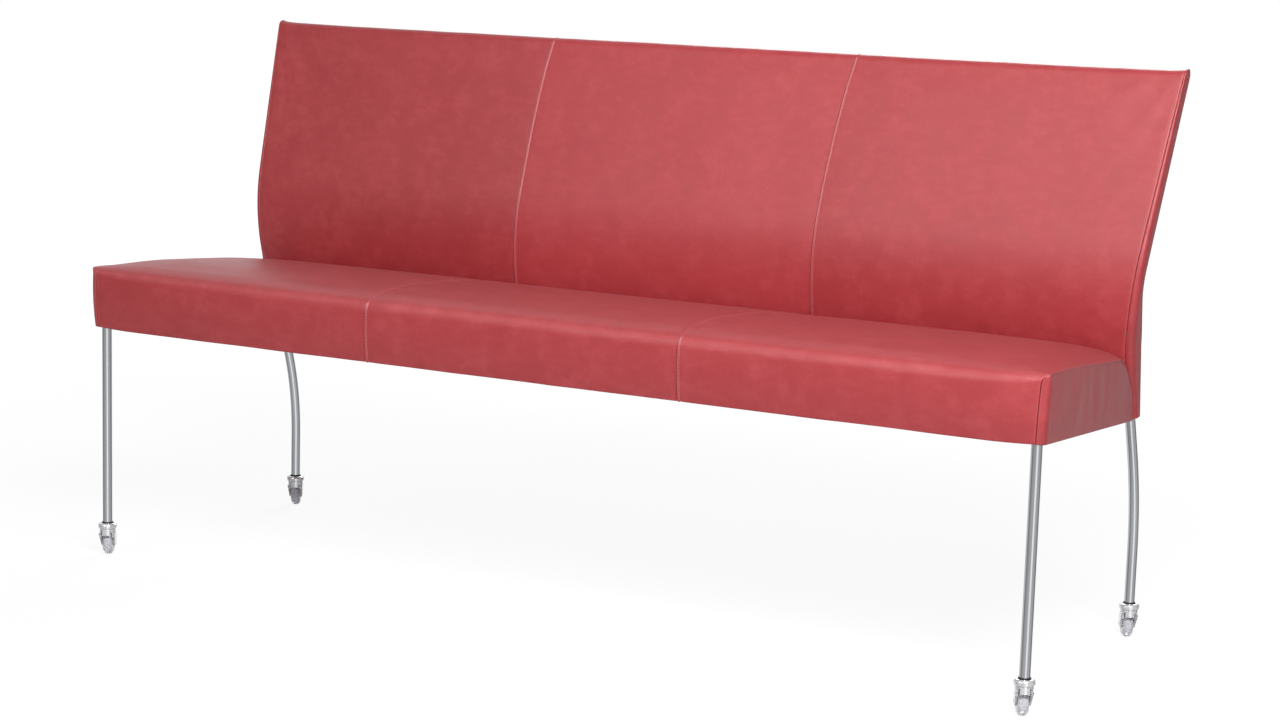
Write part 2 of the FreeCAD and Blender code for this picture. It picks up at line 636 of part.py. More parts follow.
def castor_wheel():
    half = WHEEL_WIDTH / 2
    tread = WHEEL_TREAD_WIDTH / 2
    return spun([(-half, HUB_RADIUS, 0.0), (-half, WHEEL_FLANK_RADIUS, WHEEL_FLANK_ROUND),
                 (-tread, WHEEL_RADIUS, WHEEL_NOSE), (tread, WHEEL_RADIUS, WHEEL_NOSE),
                 (half, WHEEL_FLANK_RADIUS, WHEEL_FLANK_ROUND), (half, HUB_RADIUS, 0.0)])


def castor_hub():
    half = FORK_GAP - HUB_CLEARANCE
    bore = AXLE_RADIUS + RUNNING_CLEARANCE
    return spun([(-half, bore, 0.0), (-half, HUB_RADIUS - HUB_CHAMFER, 0.0),
                 (-WHEEL_WIDTH / 2, HUB_RADIUS, 0.0), (WHEEL_WIDTH / 2, HUB_RADIUS, 0.0),
                 (half, HUB_RADIUS - HUB_CHAMFER, 0.0), (half, bore, 0.0)])


def castor_axle():
    reach = HOOD_RADIUS - ARM_TAPER - AXLE_RECESS
    return rod(AXLE_RADIUS, Vec(-reach, CASTOR_TRAIL, WHEEL_RADIUS),
               Vec(reach, CASTOR_TRAIL, WHEEL_RADIUS))


def castor_stem():
    head_top = WEB_BOTTOM_Z - SWIVEL_CLEARANCE
    head = Part.makeCylinder(STEM_HEAD_RADIUS, STEM_HEAD_HEIGHT,
                             Vec(0, 0, head_top - STEM_HEAD_HEIGHT))
    journal = Part.makeCylinder(JOURNAL_RADIUS, PLUG_BOTTOM_Z - head_top, Vec(0, 0, head_top))
    shank = Part.makeCylinder(STEM_SHANK_RADIUS, STEM_SHANK_LENGTH, Vec(0, 0, PLUG_BOTTOM_Z))
    return head.fuse([journal, shank]).removeSplitter()


def castor_plug():
    flange = Part.makeCylinder(TUBE_RADIUS, PLUG_FLANGE, Vec(0, 0, PLUG_BOTTOM_Z))
    sleeve = Part.makeCylinder(TUBE_BORE - PRESS_CLEARANCE, PLUG_LENGTH, Vec(0, 0, TUBE_END_Z))
    return flange.fuse(sleeve).removeSplitter().cut(
        Part.makeCylinder(STEM_SHANK_RADIUS, FAR, Vec(0, 0, 0)))


castor_pieces = {"castor_plug": castor_plug(), "castor_stem": castor_stem(),
                 "castor_fork": castor_fork(), "castor_axle": castor_axle(),
                 "castor_hub": castor_hub(), "castor_wheel": castor_wheel()}
leg_places = {"front_left": (-FRONT_LEG_X, FRONT_LEG_SETBACK),
              "front_right": (FRONT_LEG_X, FRONT_LEG_SETBACK),
              "rear_left": (-REAR_LEG_X, REAR_LEG_Y), "rear_right": (REAR_LEG_X, REAR_LEG_Y)}
for corner, (x, y) in leg_places.items():
    for piece, shape in castor_pieces.items():
        placed = shape.copy()
        placed.rotate(Vec(0, 0, 0), Z_AXIS, CASTOR_TURN)
        placed.translate(Vec(x, y, 0))
        add(corner + "_" + piece, placed)

# Origin at the middle of the floor area, then one file per node
boxes = [shape.optimalBoundingBox(False, False) for shape in nodes.values()]
front_y = min(limits.YMin for limits in boxes)
rear_y = max(limits.YMax for limits in boxes)
centre_y = (front_y + rear_y) / 2
os.makedirs("parts", exist_ok=True)
for name, shape in nodes.items():
    shape.translate(Vec(0, -centre_y, 0))
    shape.exportStep("parts/" + name + ".step")
    print(name, len(shape.Solids), shape.isValid(), round(shape.Volume / 1000, 2))
print("depth", round(rear_y - front_y, 2), "origin", round(centre_y, 2), "behind the front edge")
print("height", round(max(limits.ZMax for limits in boxes), 2), "nodes", len(nodes))
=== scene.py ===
# %% [markdown]
# # A leather dining bench on castors
# The bench has a leather seat and back of three panels each, steel tube legs and four small castors with
# clear wheels. The construction comes ready made as a fixed frame of solids. This lesson dresses it:
# new leather over the foam, real stitches along the seams, and a finish for every metal and plastic piece.

# %% Load the bench's construction
import bisect
import json
import math

import bmesh
import bpy
from mathutils import Matrix, Vector, noise


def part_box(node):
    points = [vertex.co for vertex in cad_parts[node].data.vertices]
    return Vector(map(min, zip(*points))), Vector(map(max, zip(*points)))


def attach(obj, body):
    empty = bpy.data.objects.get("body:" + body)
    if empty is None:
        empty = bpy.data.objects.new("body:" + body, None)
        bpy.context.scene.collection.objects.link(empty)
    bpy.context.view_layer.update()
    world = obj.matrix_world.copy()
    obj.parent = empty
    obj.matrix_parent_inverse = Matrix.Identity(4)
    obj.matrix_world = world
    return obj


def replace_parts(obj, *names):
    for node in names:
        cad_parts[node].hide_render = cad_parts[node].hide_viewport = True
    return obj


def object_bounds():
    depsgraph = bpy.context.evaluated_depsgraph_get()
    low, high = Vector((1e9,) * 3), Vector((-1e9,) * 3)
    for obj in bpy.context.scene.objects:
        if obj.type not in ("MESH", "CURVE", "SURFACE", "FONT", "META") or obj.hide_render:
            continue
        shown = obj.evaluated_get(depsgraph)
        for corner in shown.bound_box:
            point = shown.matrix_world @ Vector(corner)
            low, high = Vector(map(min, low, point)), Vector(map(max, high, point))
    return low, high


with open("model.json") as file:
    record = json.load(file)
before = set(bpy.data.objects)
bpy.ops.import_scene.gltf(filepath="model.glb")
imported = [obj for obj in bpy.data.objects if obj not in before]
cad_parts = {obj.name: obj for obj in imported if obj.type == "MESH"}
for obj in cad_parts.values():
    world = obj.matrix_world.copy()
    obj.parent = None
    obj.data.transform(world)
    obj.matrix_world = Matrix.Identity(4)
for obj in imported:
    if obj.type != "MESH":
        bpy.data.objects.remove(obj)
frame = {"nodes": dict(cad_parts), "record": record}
cad_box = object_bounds()

# %% [markdown]
# ## The camera
# The picture was taken with a long lens from the front right, a little above the back's top edge, and the
# camera was turned by less than two degrees about its own axis. A constraint could aim the camera, but it
# would drop that small turn. Three turns and a place give the camera's matrix instead: its columns are the
# directions to the right, up and backwards.

# %% Place the camera
CAMERA_PLACE = Vector((2.1570, -3.78815, 1.1099))
CAMERA_YAW = math.radians(-29.02)
CAMERA_PITCH = math.radians(-9.29)
CAMERA_ROLL = math.radians(1.66)
CAMERA_LENS = 76.07

ahead = Vector((math.sin(CAMERA_YAW) * math.cos(CAMERA_PITCH),
                math.cos(CAMERA_YAW) * math.cos(CAMERA_PITCH), math.sin(CAMERA_PITCH)))
level = Vector((math.cos(CAMERA_YAW), -math.sin(CAMERA_YAW), 0))
upright = level.cross(ahead)
right = level * math.cos(CAMERA_ROLL) + upright * math.sin(CAMERA_ROLL)
up = upright * math.cos(CAMERA_ROLL) - level * math.sin(CAMERA_ROLL)
camera = bpy.data.objects.new("camera", bpy.data.cameras.new("camera"))
camera.data.lens = CAMERA_LENS
camera.matrix_world = Matrix.LocRotScale(CAMERA_PLACE, Matrix((right, up, -ahead)).transposed(), None)
bpy.context.scene.collection.objects.link(camera)
bpy.context.scene.camera = camera
bpy.context.scene.view_settings.view_transform = "Standard"
print("camera", tuple(round(value, 3) for value in camera.location), "lens", camera.data.lens)

# %% [markdown]
# ## Writing shaders as sums
# A finish is a web of nodes, and wiring them one by one hides the idea. A small class wraps an output
# socket, so that `1 - mask * 0.4` adds the Math nodes by itself. One method of the material adds any
# other node from its type, its settings and its inputs.


# %% Values
class Value:
    """An output socket that takes part in plain arithmetic."""

    def __init__(self, finish, socket):
        self.finish = finish
        self.socket = socket

    def math(self, operation, first, second=0.0):
        return self.finish.add("ShaderNodeMath", {"operation": operation}, {0: first, 1: second})

    def __add__(self, other):
        return self.math("ADD", self, other)

    def __sub__(self, other):
        return self.math("SUBTRACT", self, other)

    def __rsub__(self, other):
        return self.math("SUBTRACT", other, self)

    def __mul__(self, other):
        return self.math("MULTIPLY", self, other)

    def sine(self):
        return self.math("SINE", self)

    def most(self, other):
        return self.math("MAXIMUM", self, other)

    __radd__ = __add__
    __rmul__ = __mul__


# %% Finishes
class Finish:
    """A node tree under construction, of a material or of the world."""

    def __init__(self, owner):
        owner.use_nodes = True
        self.owner = owner
        self.tree = owner.node_tree

    def plug(self, socket, value):
        if isinstance(value, Value):
            self.tree.links.new(value.socket, socket)
        else:
            socket.default_value = value

    def add(self, kind, settings=None, sockets=None, output=0):
        node = self.tree.nodes.new(kind)
        for name, value in (settings or {}).items():
            if name == "stops":
                self.set_stops(node.color_ramp.elements, value)
            else:
                setattr(node, name, value)
        for name, value in (sockets or {}).items():
            self.plug(node.inputs[name], value)
        return Value(self, node.outputs[output])

    def set_stops(self, elements, stops):
        while len(elements) < len(stops):
            elements.new(0.5)
        for element, (place, shade) in zip(elements, stops):
            element.position = place
            element.color = (shade, shade, shade, 1)

    def place(self):
        return self.add("ShaderNodeTexCoord", output="Object")

    def stretched(self, place, scale):
        return self.add("ShaderNodeMapping", {}, {"Vector": place, "Scale": scale})

    def noise(self, place, scale, detail=3.0, roughness=0.55):
        return self.add("ShaderNodeTexNoise", {}, {"Vector": place, "Scale": scale, "Detail": detail,
                                                   "Roughness": roughness})

    def ramp(self, value, *stops):
        return self.add("ShaderNodeValToRGB", {"stops": stops}, {0: value})

    def blend(self, share, first, second):
        return self.add("ShaderNodeMix", {"data_type": "RGBA"}, {0: share, 6: first, 7: second}, output=2)

    def attribute(self, name):
        return self.add("ShaderNodeAttribute", {"attribute_name": name}, output="Fac")

    def bump(self, height, depth, strength=1.0, under=None):
        sockets = {"Height": height, "Distance": depth, "Strength": strength}
        if under:
            sockets["Normal"] = under
        return self.add("ShaderNodeBump", {}, sockets)

    def surface(self, **sockets):
        shader = self.tree.nodes["Principled BSDF"]
        for name, value in sockets.items():
            self.plug(shader.inputs[name.replace("_", " ")], value)
        return self.owner


def finish(name):
    return Finish(bpy.data.materials.new(name))


def dimmed(colour, share):
    return (*[shade * share for shade in colour[:3]], 1)


# %% [markdown]
# ## Leather
# The hide is dyed red right through and only lightly coated, so it stays cloudy: broad lighter and darker
# patches, finer mottling inside them, pores, and a paler pink along the seat's front edge, partly where the
# leather is stretched over it and partly a painted highlight. A painted picture could show this, but it would
# repeat. Four sizes of noise make the clouds, and the grain is a fine cell pattern that only feeds the bump.
# Every panel carries a tone that lightens or darkens it as a whole, and its distance to the nearest seam. From
# that come painted shade in the groove and along the thread, painted highlights on the rolled edges and the
# two ridges of a welt, and the small tucks that the thread pulls into the leather beside it, dented in the
# bump and darkened as painted shade.

# %% Marks along a seam
MM = 0.001
STITCH_PITCH = 5.7 * MM


def seam_marks(leather):
    """Shares of painted groove shade, painted ridge highlight and tucks. The seam distance is read in
    centimetres.
    """
    gap = leather.attribute("gap") * 100
    welt, tuck = leather.attribute("welt"), leather.attribute("tuck")
    plain = 1 - welt - tuck
    beat = (leather.attribute("along") * (2 * math.pi / STITCH_PITCH)).sine() * 0.5 + 0.5
    # Painted shade: the groove and the dip along the thread are darkened where shade falls into them.
    groove_shade = leather.ramp(gap, (0.0, 1.0), (0.05, 0.7), (0.11, 0.0)) * (1 - plain * 0.6)
    stitch_dip_shade = leather.ramp(gap, (0.26, 0.0), (0.36, 1.0), (0.46, 0.0)) * welt
    # Painted highlights: the welt's two ridges and the rolled edges of a plain seam are paled where they catch
    # the light.
    welt_highlight = leather.ramp(gap, (0.05, 0.0), (0.11, 1.0), (0.2, 0.8), (0.3, 0.0), (0.42, 0.3), (0.5, 0.6),
                        (0.62, 0.0))
    rolled_edge_highlight = leather.ramp(gap, (0.06, 0.0), (0.14, 0.4), (0.4, 0.0))
    # The tucks dent the bump below and also darken the colour as painted shade.
    tucks = leather.ramp(gap, (0.1, 0.0), (0.22, 1.0), (0.36, 0.6), (0.5, 0.0)) * tuck * beat
    return groove_shade + stitch_dip_shade * 0.25, welt_highlight * welt + rolled_edge_highlight * plain, tucks


# %% Leather finish
# The darkest colour is painted shade in grooves, thread dips and tucks; the palest serves both the hide's own
# paler patches and painted highlights on edges and ridges.
PAINTED_LEATHER_SHADE = (0.15, 0.010, 0.012, 1)
LEATHER_DEEP = (0.34, 0.028, 0.033, 1)
LEATHER_MID = (0.48, 0.048, 0.056, 1)
LEATHER_PALE_AND_HIGHLIGHT = (0.68, 0.170, 0.187, 1)
SHEEN_TINT = (1.0, 0.86, 0.86, 1)
# Repeats per metre, from the broadest pattern to the finest
CLOUD_SCALE, MOTTLE_SCALE, FINE_SCALE, SPECK_SCALE, GRAIN_SCALE = 5.0, 26.0, 75.0, 210.0, 620.0
CREASE_SCALE = (40.0, 90.0, 14.0)
CREASE_DEPTH, TUCK_DEPTH, GRAIN_DEPTH = 0.9 * MM, 0.5 * MM, 0.12 * MM


def leather_finish():
    leather = finish("red_leather")
    hide, stretch = leather.attribute("hide"), leather.attribute("stretch")
    place = leather.add("ShaderNodeVectorMath", {"operation": "ADD"}, {0: leather.place(), 1: hide})
    clouds = leather.noise(place, CLOUD_SCALE, 4.0, 0.6)
    mottle = leather.noise(leather.stretched(place, (1.0, 1.0, 0.6)), MOTTLE_SCALE, 5.0, 0.65)
    fine = leather.noise(leather.stretched(place, (0.6, 1.0, 1.0)), FINE_SCALE, 4.0, 0.6)
    specks = leather.noise(place, SPECK_SCALE, 2.0, 0.5)
    groove_shade, ridge, tucks = seam_marks(leather)
    shade = clouds * 0.25 + mottle * 0.3 + fine * 0.25 + specks * 0.2 + leather.attribute("tone")
    base = leather.blend(leather.ramp(shade, (0.25, 0.0), (0.75, 1.0)), LEATHER_DEEP, LEATHER_MID)
    worn = leather.ramp(mottle * 0.5 + fine * 0.5, (0.48, 0.0), (0.75, 0.14))
    # The worn patches are the hide's own paler tone. The seam ridges are a painted highlight, and the pale
    # front edge is partly stretched leather and partly a painted highlight.
    pale = worn + stretch * (0.1 + mottle * 0.35) + ridge * 0.42
    colour = leather.blend(pale, base, LEATHER_PALE_AND_HIGHLIGHT)
    # Painted shade in the groove, along the thread and in the tucks.
    colour = leather.blend(groove_shade * 0.75 + tucks * 0.35, colour, PAINTED_LEATHER_SHADE)
    cells = leather.add("ShaderNodeTexVoronoi", {"feature": "DISTANCE_TO_EDGE"},
                        {"Vector": place, "Scale": GRAIN_SCALE})
    grain = leather.ramp(cells, (0.0, 0.0), (0.12, 1.0))
    creases = leather.noise(leather.stretched(place, CREASE_SCALE), 1.0, 5.0, 0.6)
    soft = leather.bump(creases, CREASE_DEPTH, 0.28)
    pulled = leather.bump(1 - tucks, TUCK_DEPTH, 0.8, soft)
    normal = leather.bump(grain, GRAIN_DEPTH, 0.5, pulled)
    roughness = 0.31 + mottle * 0.2 - stretch * 0.04
    return leather.surface(Base_Color=colour, Roughness=roughness, Normal=normal, Specular_IOR_Level=0.65,
                           Sheen_Weight=0.05, Sheen_Roughness=0.45, Sheen_Tint=SHEEN_TINT)


LEATHER = leather_finish()
print("leather nodes", len(LEATHER.node_tree.nodes))

# %% [markdown]
# ## The line that leather follows
# Seat and back are both drawn as a line in the depth and height plane, straight or gently swelling runs
# joined by tangent arcs, and then carried along the bench. Blender's curves could draw such a line too, but
# this one has to answer a question for every vertex: a distance along it gives a point and the direction
# out of the foam.


# %% Profile of a cushion
class Profile:
    """A line through corners (depth, height, radius), rounded at each corner and swelling to its left."""

    STEPS = 16
    REACH = 0.8 * MM

    def __init__(self, corners, swells=()):
        corners = [(Vector((depth, height)), radius) for depth, height, radius in corners]
        self.points = []
        start = corners[0][0]
        for index in range(1, len(corners)):
            end, arc = corners[index][0], []
            if index < len(corners) - 1:
                arc = self.arc(corners[index - 1][0], *corners[index], corners[index + 1][0])
                end = arc[0]
            self.points += self.run(start, end, swells[index - 1] if swells else 0.0) + arc[1:-1]
            start = arc[-1] if arc else end
        self.lengths = [0.0]
        for before, after in zip(self.points, self.points[1:]):
            self.lengths.append(self.lengths[-1] + (after - before).length)
        self.length = self.lengths[-1]

    def arc(self, before, corner, radius, after):
        back, on = (before - corner).normalized(), (after - corner).normalized()
        half = back.angle(on) / 2
        centre = corner + (back + on).normalized() * radius / math.sin(half)
        arm = corner + back * radius / math.tan(half) - centre
        turn = arm.angle_signed(corner + on * radius / math.tan(half) - centre)
        turns = [Matrix.Rotation(-turn * step / self.STEPS, 2) for step in range(self.STEPS + 1)]
        return [centre + spin @ arm for spin in turns]

    def run(self, start, end, swell):
        out = Vector((start.y - end.y, end.x - start.x)).normalized()
        shares = [step / self.STEPS for step in range(self.STEPS + 1)]
        return [start.lerp(end, share) + out * swell * 4 * share * (1 - share) for share in shares]

    def point(self, distance):
        distance = min(max(distance, 0.0), self.length)
        index = min(bisect.bisect_right(self.lengths, distance), len(self.points) - 1)
        span = self.lengths[index] - self.lengths[index - 1]
        share = (distance - self.lengths[index - 1]) / span
        return self.points[index - 1].lerp(self.points[index], share)

    def at(self, distance):
        along = self.point(distance + self.REACH) - self.point(distance - self.REACH)
        return self.point(distance), Vector((-along.y, along.x)).normalized()

    def distance_where(self, test):
        return next(length for point, length in zip(self.points, self.lengths) if test(point))


# %% Seat sizes
FRONT_LEG_SETBACK = 18 * MM
SEAT_LENGTH = 1712 * MM
SEAT_END_TAPER = 28 * MM
SEAT_END_LEAN = math.tan(math.radians(2.4))
SEAT_CORNER_ROUND = 13 * MM
CORNER_CLOSES = 0.85
SEAT_DEPTH = 462 * MM
SEAT_UNDERSIDE = 399 * MM
SEAT_THICKNESS = 101 * MM
SEAT_TILT = math.tan(math.radians(4.5))
END_FRONT_ROUND = 9 * MM
# The top line in the middle and at an end: depth, rise above the underside and radius, in millimetres
TOP_MIDDLE = [(-8, 95.5, 26), (28, 107, 110), (100, 114.2, 550), (290, 103, 1500), (428, 81.2, 40)]
TOP_END = [(0, 101, 9), (28, 101.3, 110), (100, 97.6, 550), (290, 80.2, 1500), (364, 73.2, 12)]
REAR_KNEE, END_REAR_KNEE = 20.5 * MM, 19 * MM
REAR_KNEE_RISE = 56 * MM
REAR_KNEE_ROUND = 45 * MM
REAR_SWELL = 4 * MM
FRONT_SWELL = 2.5 * MM
CROWN_FULLNESS = 18
UNDERSIDE_SAG = 2.5 * MM
HEM = 14 * MM
HEM_ROUND = 2 * MM
SEAT_SEAMS = (-292 * MM, 274 * MM)

leg_low, leg_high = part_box("front_leg_right")
FRONT_Y = (leg_low.y + leg_high.y) / 2 - FRONT_LEG_SETBACK
SEAT_END = SEAT_LENGTH / 2


# %% Seat line
def smooth_step(value):
    value = min(max(value, 0.0), 1.0)
    return value * value * (3 - 2 * value)


def underside(depth):
    return SEAT_UNDERSIDE - depth * SEAT_TILT


def seat_profile(x, hem=0.0):
    """The seat's line at x. With a hem it starts and ends under the seat."""
    share = min(abs(x) / SEAT_END, 1.0)
    fullness = 1 - share ** CROWN_FULLNESS

    def towards(end, middle):
        return end + (middle - end) * fullness

    top = []
    for end, middle in zip(TOP_END, TOP_MIDDLE):
        depth, rise, radius = [towards(*pair) * MM for pair in zip(end, middle)]
        top.append((depth, SEAT_UNDERSIDE + rise, radius))
    knee = SEAT_DEPTH - towards(END_REAR_KNEE, REAR_KNEE)
    corners = [(0, SEAT_UNDERSIDE - UNDERSIDE_SAG * fullness, HEM_ROUND), *top,
               (knee, underside(SEAT_DEPTH) + REAR_KNEE_RISE, REAR_KNEE_ROUND),
               (SEAT_DEPTH, underside(SEAT_DEPTH), HEM_ROUND)]
    swells = [FRONT_SWELL, 0, 0, 0, 0, REAR_SWELL * share ** CROWN_FULLNESS, 0]
    if hem:
        corners = [(hem, underside(hem), 0), *corners, (SEAT_DEPTH - hem, underside(SEAT_DEPTH - hem), 0)]
        swells = [0, *swells, 0]
    return Profile(corners, swells)


def end_x(flat):
    """The seat's half length at a depth and height: shorter to the back, longer to the top."""
    taper = SEAT_END_TAPER * flat.x / SEAT_DEPTH
    return SEAT_END - taper + SEAT_END_LEAN * (flat.y - underside(flat.x))


def corner_round(flat):
    """Radius of the seat's upright front corner, which closes in a quarter turn at the top edge."""
    if flat.x > END_FRONT_ROUND:
        return 0.0
    rise = (flat.y - SEAT_UNDERSIDE) / SEAT_THICKNESS
    turn = min(max((rise - CORNER_CLOSES) / (1 - CORNER_CLOSES), 0.0), 1.0)
    return SEAT_CORNER_ROUND * math.sqrt(1 - turn ** 2)


print("seat line", round(seat_profile(0).length, 4), "front at", round(FRONT_Y, 4))

# %% Back line
SEAT_REAR_Z = underside(SEAT_DEPTH)
BACK_TOP = cad_box[1].z
BACK_FOOT_LIFT = 2.5 * MM
BACK_FOOT = SEAT_REAR_Z + BACK_FOOT_LIFT
BACK_FOOT_DEPTH = 27 * MM
BACK_FOOT_OPEN = 1 * MM
BACK_SEAM_X = 283 * MM
BACK_SEAT_GAP = 1 * MM
BACK_RECLINE = math.tan(math.radians(17.74))
BACK_TOP_ROUND = 12 * MM
BACK_FOOT_HALF = 831 * MM
BACK_FLARE = 29 * MM
BACK_FLARE_FROM = SEAT_REAR_Z + 117.5 * MM
BACK_REAR_SEAM_DROP = 13 * MM
NEAR = 0.1 * MM
WAIST = (SEAT_DEPTH - 22.5 * MM, SEAT_REAR_Z + 77.5 * MM)
LUMBAR = (SEAT_DEPTH - 45.4 * MM, SEAT_REAR_Z + 208.1 * MM)
HOLLOW = (SEAT_DEPTH - 15 * MM, SEAT_REAR_Z + 212.3 * MM)
REAR_BEND = (SEAT_DEPTH + 12 * MM, SEAT_REAR_Z + 131.5 * MM)
WAIST_ROUND, LUMBAR_ROUND = 100 * MM, 300 * MM
HOLLOW_ROUND, REAR_BEND_ROUND = 80 * MM, 90 * MM


def reclined(place):
    return place[0] + (BACK_TOP - place[1]) * BACK_RECLINE


foot_front = SEAT_DEPTH + BACK_SEAT_GAP
back_line = Profile([
    (foot_front, BACK_FOOT, 0), (*WAIST, WAIST_ROUND), (*LUMBAR, LUMBAR_ROUND),
    (reclined(LUMBAR), BACK_TOP, BACK_TOP_ROUND), (reclined(HOLLOW), BACK_TOP, BACK_TOP_ROUND),
    (*HOLLOW, HOLLOW_ROUND), (*REAR_BEND, REAR_BEND_ROUND),
    (foot_front + BACK_FOOT_DEPTH, BACK_FOOT, HEM_ROUND), (foot_front + BACK_FOOT_OPEN, BACK_FOOT, 0)])
rear_of_top = reclined(HOLLOW) - BACK_TOP_ROUND
BACK_SEAM_AT = back_line.distance_where(
    lambda point: point.x > rear_of_top and point.y < BACK_TOP - BACK_REAR_SEAM_DROP)
BACK_TOP_AT = back_line.distance_where(
    lambda point: point.y > BACK_TOP - NEAR and point.x > reclined(LUMBAR) + BACK_TOP_ROUND)
BACK_FOOT_AT = back_line.length - BACK_FOOT_DEPTH


def flare_share(height):
    """0 where the back starts to grow wider, 1 at its top."""
    return min(max((height - BACK_FLARE_FROM) / (BACK_TOP - BACK_FLARE_FROM), 0.0), 1.0)


def back_half(height):
    return BACK_FOOT_HALF + BACK_FLARE * flare_share(height)


print("back line", round(back_line.length, 4), "rear seam at", round(BACK_SEAM_AT, 4))

# %% [markdown]
# ## Panels and seams
# A cloth simulation could drape the leather, but this leather is drawn tight, so its shape is known. A panel
# starts as a flat grid whose columns crowd together at its two edges, and each vertex is put on the cushion's
# line. Three kinds of seam hold the panels together. At a plain one both sides roll down into a groove. At a
# lapped one the right-hand panel lies on top: the folded allowance makes it stand up as a welt with a dip
# along the thread, and the left-hand panel is tucked in below it. At the border of an edge strip both sides
# sink gently over a few millimetres.

# %% Seam shape
WELT, TUCK, ROLL, BORDER = "welt", "tuck", "roll", "border"
SEAM_ROLL = {WELT: 1.4 * MM, TUCK: 2.2 * MM, ROLL: 1.7 * MM, BORDER: 1.2 * MM}
SEAM_PULL = {WELT: 0.4 * MM, TUCK: 0.4 * MM, ROLL: 0.6 * MM, BORDER: 0.2 * MM}
SEAM_PULL_REACH = 18 * MM
WELT_RISE = 1.1 * MM
WELT_RIDGE = 1.8 * MM
RIDGE_WIDTH = 1.6 * MM
STITCH_OFFSET = 4.4 * MM
STITCH_DIP = 0.5 * MM
STITCH_DIP_WIDTH = 0.8 * MM
ROLL_RISE = 0.3 * MM
BORDER_WIDTH = 9 * MM
BORDER_DROP = 0.6 * MM
LEATHER_THICKNESS = 1.5 * MM


def rolled(gap, radius):
    if gap >= radius:
        return 0.0
    return radius - math.sqrt(max(radius ** 2 - (radius - gap) ** 2, 0.0))


def ridge(gap, centre, width):
    return math.exp(-((gap - centre) / width) ** 2)


def seam_drop(kind, gap):
    """How far the leather lies below the cushion's line at a distance from a seam."""
    drop = rolled(gap, SEAM_ROLL[kind]) + SEAM_PULL[kind] * math.exp(-gap / SEAM_PULL_REACH)
    if kind == WELT:
        drop -= WELT_RISE * ridge(gap, WELT_RIDGE, RIDGE_WIDTH)
        drop += STITCH_DIP * ridge(gap, STITCH_OFFSET, STITCH_DIP_WIDTH)
    if kind == ROLL:
        drop -= ROLL_RISE * ridge(gap, SEAM_ROLL[ROLL], RIDGE_WIDTH)
    if kind == BORDER:
        drop += BORDER_DROP * max(1 - gap / BORDER_WIDTH, 0.0) ** 2
    return drop


def between_seams(kinds, gaps, along):
    """Drop and seam marks of a point that lies between several seams."""
    drop = sum(seam_drop(kind, gap) for kind, gap in zip(kinds, gaps))
    kind, gap = min(zip(kinds, gaps), key=lambda edge: edge[1])
    return drop, {"gap": gap, "welt": float(kind == WELT), "tuck": float(kind == TUCK), "along": along}


# %% Grid shares
EDGE_EVEN = 16


def spread(length, fine, coarse, even=1, growth=1.3):
    """Shares from 0 to 1: even fine steps at both ends, then growing to coarse in the middle."""
    steps = [fine] * even
    while steps[-1] * growth < coarse and sum(steps) < length / 3:
        steps.append(steps[-1] * growth)
    edge = sum(steps)
    middle = max(round((length - 2 * edge) / coarse), 1)
    steps = steps + [(length - 2 * edge) / middle] * middle + steps[::-1]
    places = [0.0]
    for step in steps:
        places.append(places[-1] + step)
    return [place / places[-1] for place in places]


# %% Panel maker
MARKS = ("stretch", "gap", "welt", "tuck", "along", "hide", "tone")


def shaded(name, mesh, material, body):
    """Turns a bmesh into a smooth piece that rides on a body."""
    data = bpy.data.meshes.new(name)
    mesh.to_mesh(data)
    mesh.free()
    data.materials.append(material)
    data.shade_smooth()
    piece = bpy.data.objects.new(name, data)
    bpy.context.scene.collection.objects.link(piece)
    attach(piece, body)
    return piece


def leather_panel(name, columns, rows, put, hide, tone=0.0):
    """A sheet of leather on a grid: put(column, row) gives a vertex's place and its marks.

    hide moves the noise, so that no two panels look cut from the same place, and tone lightens the panel.
    """
    mesh = bmesh.new()
    bmesh.ops.create_grid(mesh, x_segments=len(columns) - 1, y_segments=len(rows) - 1, size=0.5)
    layers = {mark: mesh.verts.layers.float.new(mark) for mark in MARKS}
    for vert in mesh.verts:
        column = columns[round((vert.co.x + 0.5) * (len(columns) - 1))]
        row = rows[round((vert.co.y + 0.5) * (len(rows) - 1))]
        vert.co, marks = put(column, row)
        for mark, value in {"stretch": 0.0, **marks, "hide": hide, "tone": tone}.items():
            vert[layers[mark]] = value
    piece = shaded(name, mesh, LEATHER, "frame")
    wall = piece.modifiers.new("thickness", "SOLIDIFY")
    wall.thickness = LEATHER_THICKNESS
    wall.offset = -1
    print(name, len(columns), "by", len(rows))
    return piece


# %% [markdown]
# ## Seat leather
# Front, top and rear of the seat are one piece of leather per panel, turned under at the bottom. The two
# outer panels narrow towards the back, because the seat's ends are set in by 28 mm over its depth, and at
# the front they stop short of the corner, where the end panel comes round.

# %% Seat panels
HAND = 0.8 * MM
HAND_SCALE = 7.0
HAND_FINER_SCALE, HAND_FINER_SHARE = 2.7, 0.35
PANEL_FINE = 0.5 * MM
PANEL_COARSE = 11 * MM
ROW_FINE = 0.9 * MM
ROW_COARSE = 4.5 * MM
ROW_EVEN = 4
# Where the seat's front edge is paled: partly the paler tone of stretched leather, partly a painted highlight.
EDGE_HIGHLIGHT_AND_STRETCH_DROP = 5 * MM
EDGE_HIGHLIGHT_AND_STRETCH_REACH = 4 * MM


def hand_made(point):
    """Slow unevenness of leather that was pulled by hand over foam."""
    point = point * HAND_SCALE
    return HAND * (noise.noise(point) + HAND_FINER_SHARE * noise.noise(point * HAND_FINER_SCALE))


def hemmed_rows(length):
    hem = (HEM - HEM_ROUND) / length
    shares = spread(length - 2 * HEM, ROW_FINE, ROW_COARSE, ROW_EVEN)
    body = [hem + (1 - 2 * hem) * share for share in shares]
    return [0, hem / 2, *body, 1 - hem / 2, 1]


